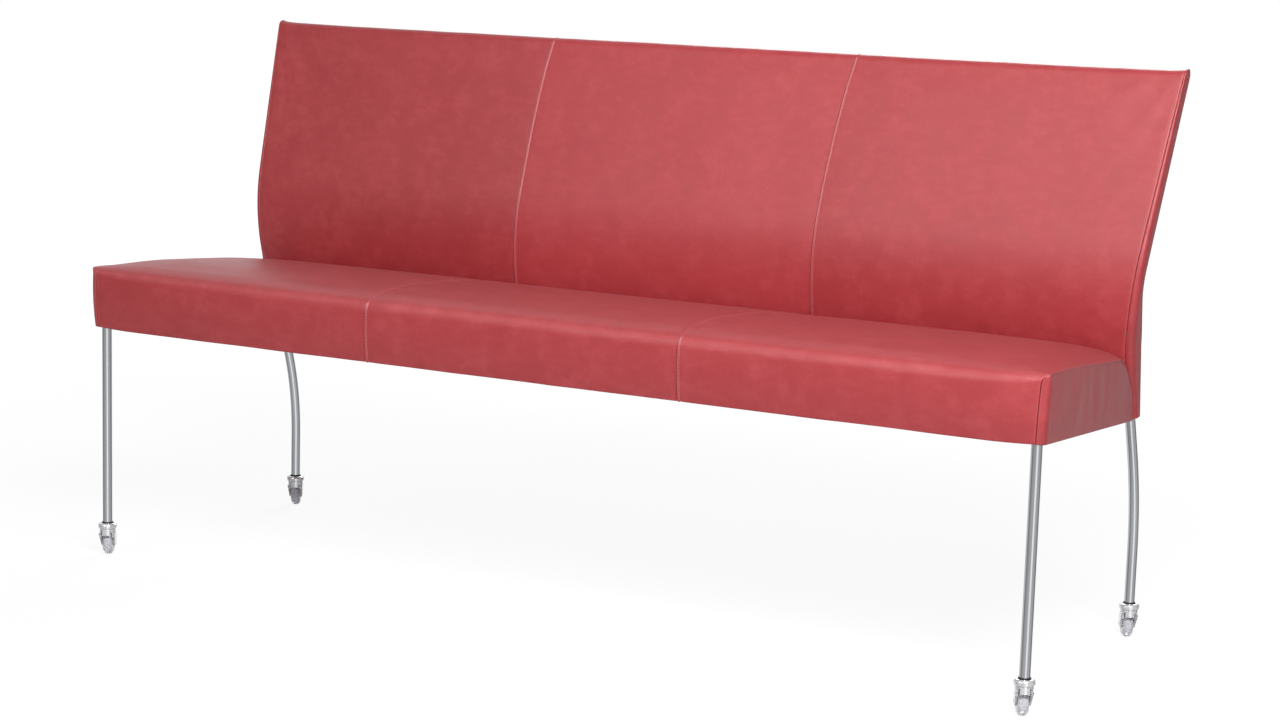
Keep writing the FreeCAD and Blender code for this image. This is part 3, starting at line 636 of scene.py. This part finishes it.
def seat_panel(name, left, right, kinds, hide):
    """left and right are the panel's edges: a seam, or an end where the seat tapers."""
    columns = []
    for share in spread(right - left, PANEL_FINE, PANEL_COARSE, EDGE_EVEN):
        columns.append((share, seat_profile(left + (right - left) * share, HEM)))
    front_edge = HEM + SEAT_THICKNESS - EDGE_HIGHLIGHT_AND_STRETCH_DROP

    def put(column, row):
        share, profile = column
        along = row * profile.length
        flat, out = profile.at(along)
        end = end_x(flat) - corner_round(flat)
        low = -end if left == -SEAT_END else left
        high = end if right == SEAT_END else right
        x = low + (high - low) * share
        drop, marks = between_seams(kinds, (x - low, high - x), along)
        flat = flat + out * (hand_made(Vector((x, *flat))) - drop)
        # Pale line along the front edge: partly stretched leather, partly a painted highlight.
        marks["stretch"] = ridge(along, front_edge, EDGE_HIGHLIGHT_AND_STRETCH_REACH)
        return Vector((x, FRONT_Y + flat.x, flat.y)), marks

    return leather_panel(name, columns, hemmed_rows(columns[0][1].length), put, hide)


left_seam, right_seam = SEAT_SEAMS
seat_left = seat_panel("seat_leather_left", -SEAT_END, left_seam, (ROLL, TUCK), 1.3)
seat_centre = seat_panel("seat_leather_centre", left_seam, right_seam, (WELT, TUCK), 4.1)
seat_right = seat_panel("seat_leather_right", right_seam, SEAT_END, (WELT, ROLL), 7.7)
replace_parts(seat_left, "seat_cover_left")
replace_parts(seat_centre, "seat_cover_centre", "seat_foam")
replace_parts(seat_right, "seat_cover_right")

# %% [markdown]
# ## Seat ends
# An end is closed by its own piece of leather, sewn in along the seat's line. One many-sided face could fill
# that line, but it could not bulge or ripple. So a grid is stretched between the line's four sides: front,
# top, rear and underside. Opposite sides are blended, the two blends are added and the corners, counted
# twice, are taken off. At the front the panel turns round the upright corner before it meets the seam.

# %% End panels
END_BULGE = 1.6 * MM
END_RIPPLE = 2.2 * MM
END_RIPPLE_MARGIN = 30 * MM
END_CORNER_SHARE = 0.3
END_COARSE = 4 * MM
NARROW_EVEN = 6
# Broad and finer ripples: scale along depth and height, layer of the noise, share
END_RIPPLES = ((14.0, 6.0, 0.5, 1.0), (36.4, 8.0, 2.5, 0.35))


def end_ripple(depth, height):
    """Soft upright ripples of leather that is only held at its edges."""
    return END_RIPPLE * sum(share * noise.noise((depth * along, height * up, layer))
                            for along, up, layer, share in END_RIPPLES)


def end_panel(name, side, hide):
    profile = seat_profile(SEAT_END)
    corner_front = profile.distance_where(lambda point: point.x > END_CORNER_SHARE * END_FRONT_ROUND)
    corner_rear = profile.distance_where(lambda point: point.x > TOP_END[-1][0] * MM)

    def line(share, start, end):
        return profile.point(start + (end - start) * share)

    def patch(u, v):
        front, rear = line(v, 0, corner_front), line(v, profile.length, corner_rear)
        low, high = profile.points[0].lerp(profile.points[-1], u), line(u, corner_front, corner_rear)
        corners = low.lerp(line(0, corner_front, 0).lerp(line(0, corner_rear, 0), u), v)
        return front.lerp(rear, u) + low.lerp(high, v) - corners

    def put(column, row):
        across = column if side > 0 else 1 - column
        radius = corner_round(patch(0, row))
        arc = radius * math.pi / 2
        distance = across * (SEAT_DEPTH - radius + arc)
        turn = math.pi / 2 if distance >= arc else distance / radius
        depth = radius * (1 - math.cos(turn)) + max(distance - arc, 0.0)
        flat = patch(depth / SEAT_DEPTH, row)
        gaps = (distance, (1 - row) * SEAT_THICKNESS, SEAT_DEPTH - depth)
        drop, marks = between_seams((ROLL, ROLL, ROLL), gaps, distance)
        drop += rolled(row * SEAT_THICKNESS, HEM_ROUND)
        bulge = END_BULGE * 16 * across * (1 - across) * row * (1 - row)
        free = math.sin(math.pi * row) * smooth_step(distance / END_RIPPLE_MARGIN)
        bulge += end_ripple(flat.x, flat.y) * free - drop
        x = end_x(flat) - radius * (1 - math.sin(turn)) + bulge * math.sin(turn)
        return Vector((side * x, FRONT_Y + flat.x - bulge * math.cos(turn), flat.y)), marks

    columns = spread(SEAT_DEPTH, PANEL_FINE, END_COARSE, EDGE_EVEN)
    rows = spread(SEAT_THICKNESS, PANEL_FINE, ROW_COARSE, NARROW_EVEN)
    return leather_panel(name, columns, rows, put, hide)


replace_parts(end_panel("seat_end_leather_left", -1, 2.2), "seat_end_cover_left")
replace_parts(end_panel("seat_end_leather_right", 1, 9.4), "seat_end_cover_right")

# %% [markdown]
# ## Back leather
# Each front panel runs up the back, over the top edge and down to a seam at the rear. The top edge is not
# straight: the leather is pulled down a little between the corners, which leaves a small ear at each end.
# A few soft folds start from the corners, where the leather is drawn tight. They could be sculpted, but as
# a short list of lines they stay easy to move. The seams bend to the right near the top.

# %% Folds and ears of the back
TOP_DIP = 5.0 * MM
EAR_REACH = 12 * MM
EAR_SLOPE = 90 * MM
EAR_BELOW = 60 * MM
FOLD_SKEW = 0.6
# Start (x, height), heading, length, width and height of each fold, in millimetres
FOLDS = [((846, 894), (-0.5, -0.87), 150, 14, 0.9), ((820, 900), (-0.75, -0.66), 160, 13, 0.7),
         ((848, 850), (-0.2, -0.98), 140, 12, 0.7), ((826, 462), (-0.93, 0.37), 130, 10, 0.7),
         ((824, 425), (-0.98, 0.2), 110, 9, 0.6), ((826, 500), (-0.85, 0.52), 100, 9, 0.5)]


def top_sag(x, height):
    inward = max(back_half(height) - abs(x), 0.0)
    ear = 0.5 * math.exp(-inward / EAR_REACH) + 0.5 * math.exp(-inward / EAR_SLOPE)
    return TOP_DIP * (1 - ear) * smooth_step((height - BACK_TOP + EAR_BELOW) / EAR_BELOW)


def fold_rise(x, height):
    rise = 0.0
    for start, heading, length, width, tall in FOLDS:
        offset = Vector((abs(x), height)) / MM - Vector(start)
        ahead, aside = offset.dot(heading), offset.x * heading[1] - offset.y * heading[0]
        if 0 < ahead < length:
            rise += tall * MM * math.sin(math.pi * (ahead / length) ** FOLD_SKEW) * ridge(aside, 0, width)
    return rise


print("folds at each end", len(FOLDS))

# %% Back panels
STRIP_BAND = 13 * MM
STRIP_BAND_TOP = 3 * MM
STRIP_REAR = 6 * MM
# How far each seam bends, and how far below the top the bend starts
SEAM_BENDS = {-BACK_SEAM_X: (11 * MM, 200 * MM), BACK_SEAM_X: (21 * MM, 280 * MM)}


def strip_band(height):
    """How far the edge strip comes round to the front: less and less to the top."""
    return STRIP_BAND + (STRIP_BAND_TOP - STRIP_BAND) * flare_share(height)


def back_seam(seam, height):
    """Where a seam of the back lies at a height."""
    bend, reach = SEAM_BENDS[seam]
    return seam + bend * max(1 - (BACK_TOP - height) / reach, 0.0) ** 2


def back_panel(name, left, right, start, end, kinds, hide, tone=0.0):
    at_rear = start > 0

    def put(column, row):
        along = start + (end - start) * row
        flat, out = back_line.at(along)
        border = back_half(flat.y) - (STRIP_REAR if at_rear else strip_band(flat.y))
        low = -border if left < -BACK_SEAM_X else back_seam(left, flat.y)
        high = border if right > BACK_SEAM_X else back_seam(right, flat.y)
        x = low + (high - low) * column
        drop, marks = between_seams(kinds, (x - low, high - x), along)
        drop += rolled(along - start, HEM_ROUND) + rolled(end - along, HEM_ROUND)
        rise = hand_made(Vector((x, *flat))) + fold_rise(x, flat.y) - drop
        flat = flat + out * rise
        return Vector((x, FRONT_Y + flat.x, flat.y - top_sag(x, flat.y))), marks

    columns = spread(right - left, PANEL_FINE, PANEL_COARSE, EDGE_EVEN)
    rows = spread(end - start, ROW_FINE, ROW_COARSE, ROW_EVEN)
    return leather_panel(name, columns, rows, put, hide, tone)


BACK_TONES = {"left": -0.03, "centre": 0.13, "right": 0.02}
back_end = BACK_FOOT_HALF + BACK_FLARE
back_spans = {"left": (-back_end, -BACK_SEAM_X, BORDER, TUCK),
              "centre": (-BACK_SEAM_X, BACK_SEAM_X, WELT, TUCK),
              "right": (BACK_SEAM_X, back_end, WELT, BORDER)}
for number, (part, (left, right, *kinds)) in enumerate(back_spans.items()):
    front = back_panel("back_leather_" + part, left, right, 0, BACK_SEAM_AT, kinds, 12.6 + number * 3.3,
                       BACK_TONES[part])
    rear = back_panel("back_rear_leather_" + part, left, right, BACK_SEAM_AT, back_line.length, kinds,
                      23.9 + number * 2.7)
    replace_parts(front, "back_cover_" + part)
    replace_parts(rear, "back_rear_cover_" + part)
    if part == "centre":
        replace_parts(front, "back_foam_front")
        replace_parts(rear, "back_foam_rear")

# %% [markdown]
# ## Back edge strips
# A narrow strip closes each side of the back. It starts on the front, a finger's breadth inside the edge,
# turns round the edge and ends at the rear leather. A bevel could round one edge, but the strip grows narrower
# to the top. So its grid runs from foot to top, and every row has a small line of its own, drawn with the same
# tool as the cushions' lines.

# %% Edge strips
STRIP_TOP = 0.996
STRIP_ROW = 6 * MM
STRIP_COARSE = 2 * MM
STRIP_CORNER = 12 * MM


def strip_row(share):
    """The front and rear points of the back at a height, and the strip's line between them."""
    front = back_line.point(share * BACK_TOP_AT)
    rear = back_line.point(BACK_FOOT_AT - share * (BACK_FOOT_AT - BACK_TOP_AT))
    width = (rear - front).length
    half, band = back_half(front.y), strip_band(front.y)
    corner = min(STRIP_CORNER, 0.9 * band, 0.4 * width)
    rear_corner = min(0.9 * STRIP_REAR, 0.4 * width)
    return front, rear, Profile([(half - band, 0, 0), (half, 0, corner), (half, width, rear_corner),
                                 (half - STRIP_REAR, width, 0)])


def edge_strip(name, side, hide):
    def put(column, row):
        across = column if side > 0 else 1 - column
        front, rear, line = row
        distance = across * line.length
        place, inward = line.at(distance)
        drop, marks = between_seams((BORDER, BORDER), (distance, line.length - distance), front.y)
        place = place + inward * drop
        flat = front.lerp(rear, place.y / (rear - front).length)
        return Vector((side * place.x, FRONT_Y + flat.x, flat.y - top_sag(place.x, flat.y))), marks

    columns = spread(BACK_FOOT_DEPTH + STRIP_BAND, PANEL_FINE, STRIP_COARSE, NARROW_EVEN)
    rows = [strip_row(share * STRIP_TOP) for share in spread(BACK_TOP_AT, ROW_FINE, STRIP_ROW)]
    return leather_panel(name, columns, rows, put, hide)


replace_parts(edge_strip("back_strip_leather_left", -1, 30.5), "back_edge_strip_left")
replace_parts(edge_strip("back_strip_leather_right", 1, 33.1), "back_edge_strip_right")

# %% [markdown]
# ## Stitches
# The seams are topstitched with a thread one shade paler than the leather. A bump could hint at stitches, but
# close up they would look painted on. Each stitch is a small slim ball, pressed into the leather, and all
# stitches of one seam are one piece.

# %% Thread finish
THREAD_COLOUR = (0.56, 0.10, 0.11, 1)
THREAD_PALE = (0.70, 0.22, 0.22, 1)


def thread_finish():
    thread = finish("pink_thread")
    twist = thread.add("ShaderNodeTexWave", {"bands_direction": "DIAGONAL"},
                       {"Vector": thread.place(), "Scale": 900.0, "Distortion": 0.4})
    fade = thread.noise(thread.place(), 60.0)
    colour = thread.blend(fade * 0.5 + twist * 0.25, THREAD_COLOUR, THREAD_PALE)
    return thread.surface(Base_Color=colour, Roughness=0.55 + fade * 0.2, Sheen_Weight=0.3,
                          Normal=thread.bump(twist, 0.1 * MM, 0.5))


THREAD = thread_finish()
print("thread nodes", len(THREAD.node_tree.nodes))

# %% Stitch lines
STITCH_LENGTH = 4.2 * MM
STITCH_RADIUS = 0.38 * MM
STITCH_SINK = seam_drop(WELT, STITCH_OFFSET)
SEAM_MARGIN = 4 * MM


def stitch_line(name, profile, start, end, across):
    """Stitches along a profile, a little above the dip they are pressed into. across(height) gives x."""
    mesh = bmesh.new()
    count = int((end - start) / STITCH_PITCH)
    for index in range(count):
        flat, out = profile.at(start + (index + 0.5) * STITCH_PITCH)
        x = across(flat.y)
        normal = Vector((0, out.x, out.y))
        forward = Vector((0, out.y, -out.x))
        spot = flat + out * (hand_made(Vector((x, *flat))) + STITCH_RADIUS * 0.5 - STITCH_SINK)
        turn = Matrix((normal.cross(forward), normal, forward)).transposed().to_4x4()
        size = Matrix.Diagonal((STITCH_RADIUS, STITCH_RADIUS, STITCH_LENGTH / 2, 1))
        here = Matrix.Translation((x, FRONT_Y + spot.x, spot.y - top_sag(x, spot.y)))
        bmesh.ops.create_uvsphere(mesh, u_segments=6, v_segments=4, radius=1, matrix=here @ turn @ size)
    print(name, count, "stitches")
    return shaded(name, mesh, THREAD, "frame")


for part, seam, seat_seam in (("left", -BACK_SEAM_X, left_seam), ("right", BACK_SEAM_X, right_seam)):
    seat_x = seat_seam + STITCH_OFFSET
    seat_line = seat_profile(seat_x, HEM)
    stitch_line("seat_seam_thread_" + part, seat_line, HEM, seat_line.length - HEM, lambda height: seat_x)
    for place, low, high in (("back", 0, BACK_SEAM_AT), ("back_rear", BACK_SEAM_AT, BACK_FOOT_AT)):
        stitch_line(place + "_seam_thread_" + part, back_line, low + SEAM_MARGIN, high - SEAM_MARGIN,
                    lambda height: back_seam(seam, height) + STITCH_OFFSET)

# %% [markdown]
# ## Metals and plastics
# The solids of legs, rails, castors and boards stay as they are and only get a finish. The legs are ground
# along their length, the castor forks are chromed, the wheels are clear plastic around a milky core. One
# colour each would do from afar, but real metal is never even, so noise varies colour, roughness and bump.


# %% Metal finishes
def ground_steel(name, colour, roughness, streak, edge):
    """Steel ground along its length: fine streaks in colour, roughness and bump, darker seen edge-on."""
    steel = finish(name)
    place = steel.place()
    streaks = steel.noise(steel.stretched(place, (900.0, 900.0, streak)), 1.0, 4.0, 0.6)
    smears = steel.noise(steel.stretched(place, (30.0, 30.0, 7.0)), 1.0, 3.0)
    tone = steel.blend(streaks * 0.6 + smears * 0.25, dimmed(colour, 0.82), colour)
    uneven = roughness + streaks * 0.08 + smears * 0.05
    return steel.surface(Base_Color=tone, Metallic=1.0, Roughness=uneven, Specular_Tint=edge,
                         Normal=steel.bump(streaks, 0.03 * MM, 0.35))


def polished(name, colour, roughness, clouds, metallic=1.0):
    """Plated or turned metal, even but for faint clouds and handling marks."""
    metal = finish(name)
    marks = metal.noise(metal.place(), clouds, 4.0)
    tone = metal.blend(marks * 0.5, colour, dimmed(colour, 0.85))
    return metal.surface(Base_Color=tone, Metallic=metallic, Roughness=roughness + marks * 0.08,
                         Normal=metal.bump(marks, 0.02 * MM, 0.2))


BRUSHED_STEEL = ground_steel("brushed_steel", (0.86, 0.88, 0.91, 1), 0.10, 14.0, (0.30, 0.32, 0.36, 1))
FRAME_STEEL = ground_steel("frame_steel", (0.30, 0.31, 0.33, 1), 0.42, 60.0, (0.6, 0.6, 0.6, 1))
ZINC = polished("zinc_steel", (0.62, 0.63, 0.60, 1), 0.34, 120.0)
CHROME = polished("chrome", (0.92, 0.91, 0.93, 1), 0.12, 60.0, 0.6)
print("metals", *[metal.name for metal in (BRUSHED_STEEL, FRAME_STEEL, ZINC, CHROME)])


# %% Plastic, board and cloth finishes
def moulded(name, colour, roughness):
    plastic = finish(name)
    speckle = plastic.noise(plastic.place(), 700.0, 2.0)
    tone = plastic.blend(speckle * 0.4, colour, dimmed(colour, 0.7))
    return plastic.surface(Base_Color=tone, Roughness=roughness + speckle * 0.1,
                           Normal=plastic.bump(speckle, 0.05 * MM, 0.4))


def clear_plastic(name, colour, roughness, clearness):
    clear = finish(name)
    haze = clear.noise(clear.place(), 180.0, 3.0)
    tint = clear.blend(haze * 0.5, colour, dimmed(colour, 0.93))
    return clear.surface(Base_Color=tint, Roughness=roughness + haze * 0.08, IOR=1.5,
                         Transmission_Weight=clearness, Normal=clear.bump(haze, 0.03 * MM, 0.3))


def plywood():
    board = finish("plywood")
    place = board.place()
    rings = board.noise(board.stretched(place, (3.0, 34.0, 34.0)), 1.0, 5.0, 0.6)
    pores = board.noise(board.stretched(place, (60.0, 900.0, 900.0)), 1.0, 2.0)
    tone = board.blend(rings * 0.8 + pores * 0.2, (0.62, 0.44, 0.26, 1), (0.44, 0.27, 0.13, 1))
    return board.surface(Base_Color=tone, Roughness=0.6 + pores * 0.15,
                         Normal=board.bump(pores, 0.1 * MM, 0.4))


def spunbond():
    cloth = finish("base_fabric")
    dimples = cloth.add("ShaderNodeTexVoronoi", {}, {"Vector": cloth.place(), "Scale": 420.0})
    fibres = cloth.noise(cloth.place(), 900.0, 4.0, 0.7)
    tone = cloth.blend(fibres * 0.6 + dimples * 0.3, (0.012, 0.012, 0.013, 1), (0.05, 0.05, 0.052, 1))
    return cloth.surface(Base_Color=tone, Roughness=0.85 + fibres * 0.1, Sheen_Weight=0.15,
                         Normal=cloth.bump(dimples + fibres * 0.5, 0.15 * MM, 0.6))


BASE_FABRIC = spunbond()
SLOT_FINISHES = {"brushed_steel": BRUSHED_STEEL, "frame_steel": FRAME_STEEL, "zinc_steel": ZINC,
                 "chrome": CHROME, "plywood": plywood(), "base_fabric": BASE_FABRIC,
                 "dark_plastic": moulded("dark_plastic", (0.02, 0.02, 0.022, 1), 0.4),
                 "clear_core": clear_plastic("clear_core", (0.72, 0.71, 0.78, 1), 0.25, 0.3),
                 "clear_tyre": clear_plastic("clear_tyre", (0.84, 0.82, 0.88, 1), 0.10, 0.35)}
print("finishes", *SLOT_FINISHES)

# %% Dress the solids
dressed = [part for part in frame["record"]["subparts"] if part["material_slot"] in SLOT_FINISHES]
for part in dressed:
    frame["nodes"][part["node"]].material_slots[0].material = SLOT_FINISHES[part["material_slot"]]
print("dressed", len(dressed), "solids")

# %% [markdown]
# ## Black rings of painted shade
# A thin black ring sits round the foot of each tube, where it goes into the castor's collar. It is painted
# shade: a dark piece put where the collar's dished top lies in shade. A torus would be too round: the ring is
# taller than its wall, so a small oval is spun about the tube's axis.

# %% Rings at the castors
RING_INNER = 8.0 * MM
RING_WALL = 1.4 * MM
RING_HEIGHT = 3.2 * MM
RING_SINK = 1 * MM
RING_SIDES, RING_STEPS = 8, 24


def rings():
    mesh = bmesh.new()
    for corner in ("front_left", "front_right", "rear_left", "rear_right"):
        collar_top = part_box(corner + "_castor_fork")[1].z
        stem_low, stem_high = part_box(corner + "_castor_stem")
        centre = (stem_low + stem_high) / 2
        centre.z = collar_top + RING_HEIGHT / 2 - RING_SINK
        oval = bmesh.ops.create_circle(mesh, segments=RING_SIDES, radius=0.5)["verts"]
        for vert in oval:
            out, rise = RING_INNER + RING_WALL * (vert.co.x + 0.5), RING_HEIGHT * vert.co.y
            vert.co = centre + Vector((out, 0, rise))
        edges = {edge for vert in oval for edge in vert.link_edges}
        bmesh.ops.spin(mesh, geom=[*oval, *edges], cent=centre, axis=(0, 0, 1), angle=2 * math.pi,
                       steps=RING_STEPS, use_merge=True)
    bmesh.ops.remove_doubles(mesh, verts=mesh.verts, dist=0.02 * MM)
    bmesh.ops.recalc_face_normals(mesh, faces=mesh.faces)
    print("rings", len(mesh.faces), "faces")
    # The rings are painted shade: dark pieces where the collar's dished top lies in shade.
    return shaded("castor_shade_rings", mesh, SLOT_FINISHES["dark_plastic"], "frame")


rings()

# %% [markdown]
# ## Base cloth
# The underside is closed with a thin black cloth, stretched over the turned hems of the leather and stapled
# along its edge. It is held all round, so it needs no simulation: a flat grid gets slow waves between the
# staples, and a staple is a short bar.

# %% Base cloth and staples
CLOTH_INSET = 7 * MM
CLOTH_BELOW = 0.5 * MM
CLOTH_WAVE = 0.7 * MM
CLOTH_COLUMNS, CLOTH_ROWS = 110, 36
STAPLE_STEP = 52 * MM
STAPLE_INSET = 13 * MM
STAPLE_BELOW = 0.4 * MM
STAPLE_SIZE = (10 * MM, 0.9 * MM, 0.6 * MM, 1)
STAPLE_SPAN, STAPLE_END = 0.94, 0.992
END_STAPLES = 7


def under_seat(across, depth, below):
    flat = Vector((depth, underside(depth)))
    half = end_x(flat) - CLOTH_INSET
    return Vector((across * half, FRONT_Y + depth, flat.y - below))


def base_cloth():
    mesh = bmesh.new()
    bmesh.ops.create_grid(mesh, x_segments=CLOTH_COLUMNS, y_segments=CLOTH_ROWS, size=1)
    for vert in mesh.verts:
        across, depth = vert.co.x, CLOTH_INSET + (SEAT_DEPTH - 2 * CLOTH_INSET) * (vert.co.y + 1) / 2
        slack = (1 - across ** 8) * (1 - vert.co.y ** 4)
        wave = CLOTH_WAVE * slack * (0.6 + noise.noise((across * 7, depth * 9, 0)))
        vert.co = under_seat(across, depth, CLOTH_BELOW + wave)
    bmesh.ops.reverse_faces(mesh, faces=mesh.faces)
    flat_area = sum(face.calc_area() for face in mesh.faces)
    cloth = shaded("seat_base_cloth", mesh, BASE_FABRIC, "frame")
    width, length = SEAT_LENGTH - 2 * CLOTH_INSET, SEAT_DEPTH - 2 * CLOTH_INSET
    min(flat_area, width * length)
    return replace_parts(cloth, "seat_base_cover")


def staples():
    mesh = bmesh.new()
    places = []
    count = int(SEAT_LENGTH / STAPLE_STEP)
    for index in range(count):
        across = STAPLE_SPAN * (2 * (index + 0.5) / count - 1)
        places += [(across, STAPLE_INSET, 0.0), (across, SEAT_DEPTH - STAPLE_INSET, 0.0)]
    for index in range(1, END_STAPLES + 1):
        depth = SEAT_DEPTH * index / (END_STAPLES + 1)
        places += [(side * STAPLE_END, depth, math.pi / 2) for side in (-1, 1)]
    for across, depth, turn in places:
        here = Matrix.Translation(under_seat(across, depth, CLOTH_BELOW + STAPLE_BELOW))
        turned = here @ Matrix.Rotation(turn, 4, "Z")
        bmesh.ops.create_cube(mesh, size=1, matrix=turned @ Matrix.Diagonal(STAPLE_SIZE))
    print("staples", len(places))
    return shaded("seat_base_staples", mesh, ZINC, "frame")


base_cloth()
staples()

# %% [markdown]
# ## Floor and light
# The bench stands in a white studio. A pale floor takes its shadow, and three soft lamps light it: a key from
# the front right, a softbox from the front left and one from behind for the rear leather. A brighter room
# could make the background white, but it would wash out the red. So floor and world show white to camera and
# glass rays alone, and light the leather no more for it.

# %% Floor
FLOOR_REACH = 14
FLOOR_COLOUR = (0.86, 0.86, 0.86, 1)
WHITE = (1, 1, 1, 1)
floor_mesh = bmesh.new()
bmesh.ops.create_grid(floor_mesh, x_segments=1, y_segments=1, size=FLOOR_REACH)
floor_data = bpy.data.meshes.new("floor")
floor_mesh.to_mesh(floor_data)
floor_mesh.free()
floor = bpy.data.objects.new("floor", floor_data)
bpy.context.scene.collection.objects.link(floor)
print("floor", 2 * FLOOR_REACH, "m wide")

# %% Floor finish
FLOOR_WHITE_SHARE = 0.85
FLOOR_GLOW = 1.06
FLOOR_FADE = 5.0


def rays_of(shader, *kinds):
    """1 for rays of the given kinds, else 0."""
    paths = shader.tree.nodes.new("ShaderNodeLightPath")
    first, *others = [Value(shader, paths.outputs["Is " + kind + " Ray"]) for kind in kinds]
    return sum(others, first)


floor_finish = finish("pale_floor")
floor_finish.surface(Base_Color=FLOOR_COLOUR, Roughness=0.9, Specular_IOR_Level=0.0)
glow = floor_finish.add("ShaderNodeEmission", {}, {"Color": WHITE, "Strength": FLOOR_GLOW})
matt = Value(floor_finish, floor_finish.tree.nodes["Principled BSDF"].outputs[0])
away = floor_finish.add("ShaderNodeVectorMath", {"operation": "LENGTH"}, {0: floor_finish.place()},
                        output="Value")
white = floor_finish.ramp(away * (1 / FLOOR_FADE), (0.25, FLOOR_WHITE_SHARE), (1.0, 1.0))
seen = rays_of(floor_finish, "Camera", "Transmission")
mixed = floor_finish.add("ShaderNodeMixShader", {}, {0: seen * white, 1: matt, 2: glow})
floor_finish.plug(floor_finish.tree.nodes["Material Output"].inputs["Surface"], mixed)
floor.data.materials.append(floor_finish.owner)
floor.visible_glossy = False
print("floor nodes", len(floor_finish.tree.nodes))

# %% [markdown]
# ## The room
# Mirrors need something to mirror. Real walls and windows could be built, but for glossy rays alone it is
# enough to paint the world by direction: a strip light in front on the right, which gives the steel its white
# line, a window behind on the left for the sheen on the seat, and greys for walls, floor and ceiling. Nothing
# in it is brighter than white.

# %% World
ROOM_LIGHT = 0.12
ROOM_COLOUR = (0.97, 0.98, 1, 1)
STRIP_LIGHT_HEADING = (0.67, -0.74, 0)
WINDOW_HEADING = (-0.55, 0.82, 0.15)
world = bpy.data.worlds.new("room")
bpy.context.scene.world = world
room = Finish(world)
heading = room.add("ShaderNodeTexCoord", output="Generated")
level_part = room.add("ShaderNodeVectorMath", {"operation": "MULTIPLY"}, {0: heading, 1: (1, 1, 0)})
compass = room.add("ShaderNodeVectorMath", {"operation": "NORMALIZE"}, {0: level_part})


def facing(ray, direction):
    """0 to 1 by how far a ray goes in a direction."""
    share = room.add("ShaderNodeVectorMath", {"operation": "DOT_PRODUCT"}, {0: ray, 1: direction},
                     output="Value")
    return share * 0.5 + 0.5


walls = room.ramp(facing(compass, STRIP_LIGHT_HEADING), (0.0, 1.0), (0.16, 0.75), (0.3, 0.2), (0.65, 0.42),
                  (0.9, 0.5))
height = room.ramp(facing(heading, (0, 0, 1)), (0.07, 0.3), (0.15, 0.85), (0.33, 1.0), (0.42, 0.85),
                   (0.5, 0.55), (0.6, 0.65), (0.9, 1.0))
strip_light = room.ramp(facing(compass, STRIP_LIGHT_HEADING), (0.968, 0.0), (0.982, 1.0))
window = room.ramp(facing(heading, WINDOW_HEADING), (0.93, 0.0), (0.985, 1.0))
mirrored = strip_light.most(window).most(walls * height)
plain = room.add("ShaderNodeBackground", {}, {"Color": WHITE, "Strength": 1.0})
dim = room.add("ShaderNodeBackground", {}, {"Color": ROOM_COLOUR, "Strength": ROOM_LIGHT})
painted = room.add("ShaderNodeBackground", {}, {"Color": mirrored, "Strength": 1.0})
both = room.add("ShaderNodeMixShader", {}, {0: rays_of(room, "Camera", "Transmission"), 1: dim, 2: plain})
both = room.add("ShaderNodeMixShader", {}, {0: rays_of(room, "Glossy"), 1: both, 2: painted})
room.plug(room.tree.nodes["World Output"].inputs["Surface"], both)
print("room nodes", len(room.tree.nodes))


# %% Lamps
def lamp(name, place, target, size, watts):
    data = bpy.data.lights.new(name, "AREA")
    data.shape = "RECTANGLE"
    data.size, data.size_y = size
    data.energy = watts
    light = bpy.data.objects.new(name, data)
    light.location = place
    light.rotation_euler = (Vector(target) - Vector(place)).to_track_quat("-Z", "Y").to_euler()
    bpy.context.scene.collection.objects.link(light)


BENCH_MIDDLE = (0, 0, 0.5)
LAMPS = {"key": ((1.8, -2.05, 2.5), (1.3, 1.1), 99), "softbox": ((-1.0, -3.4, 2.6), (1.8, 1.2), 36),
         "rear": ((-0.6, 3.6, 2.4), (2.6, 1.6), 75)}
for name, (place, size, watts) in LAMPS.items():
    lamp(name, place, BENCH_MIDDLE, size, watts)
print("lamps", *LAMPS)
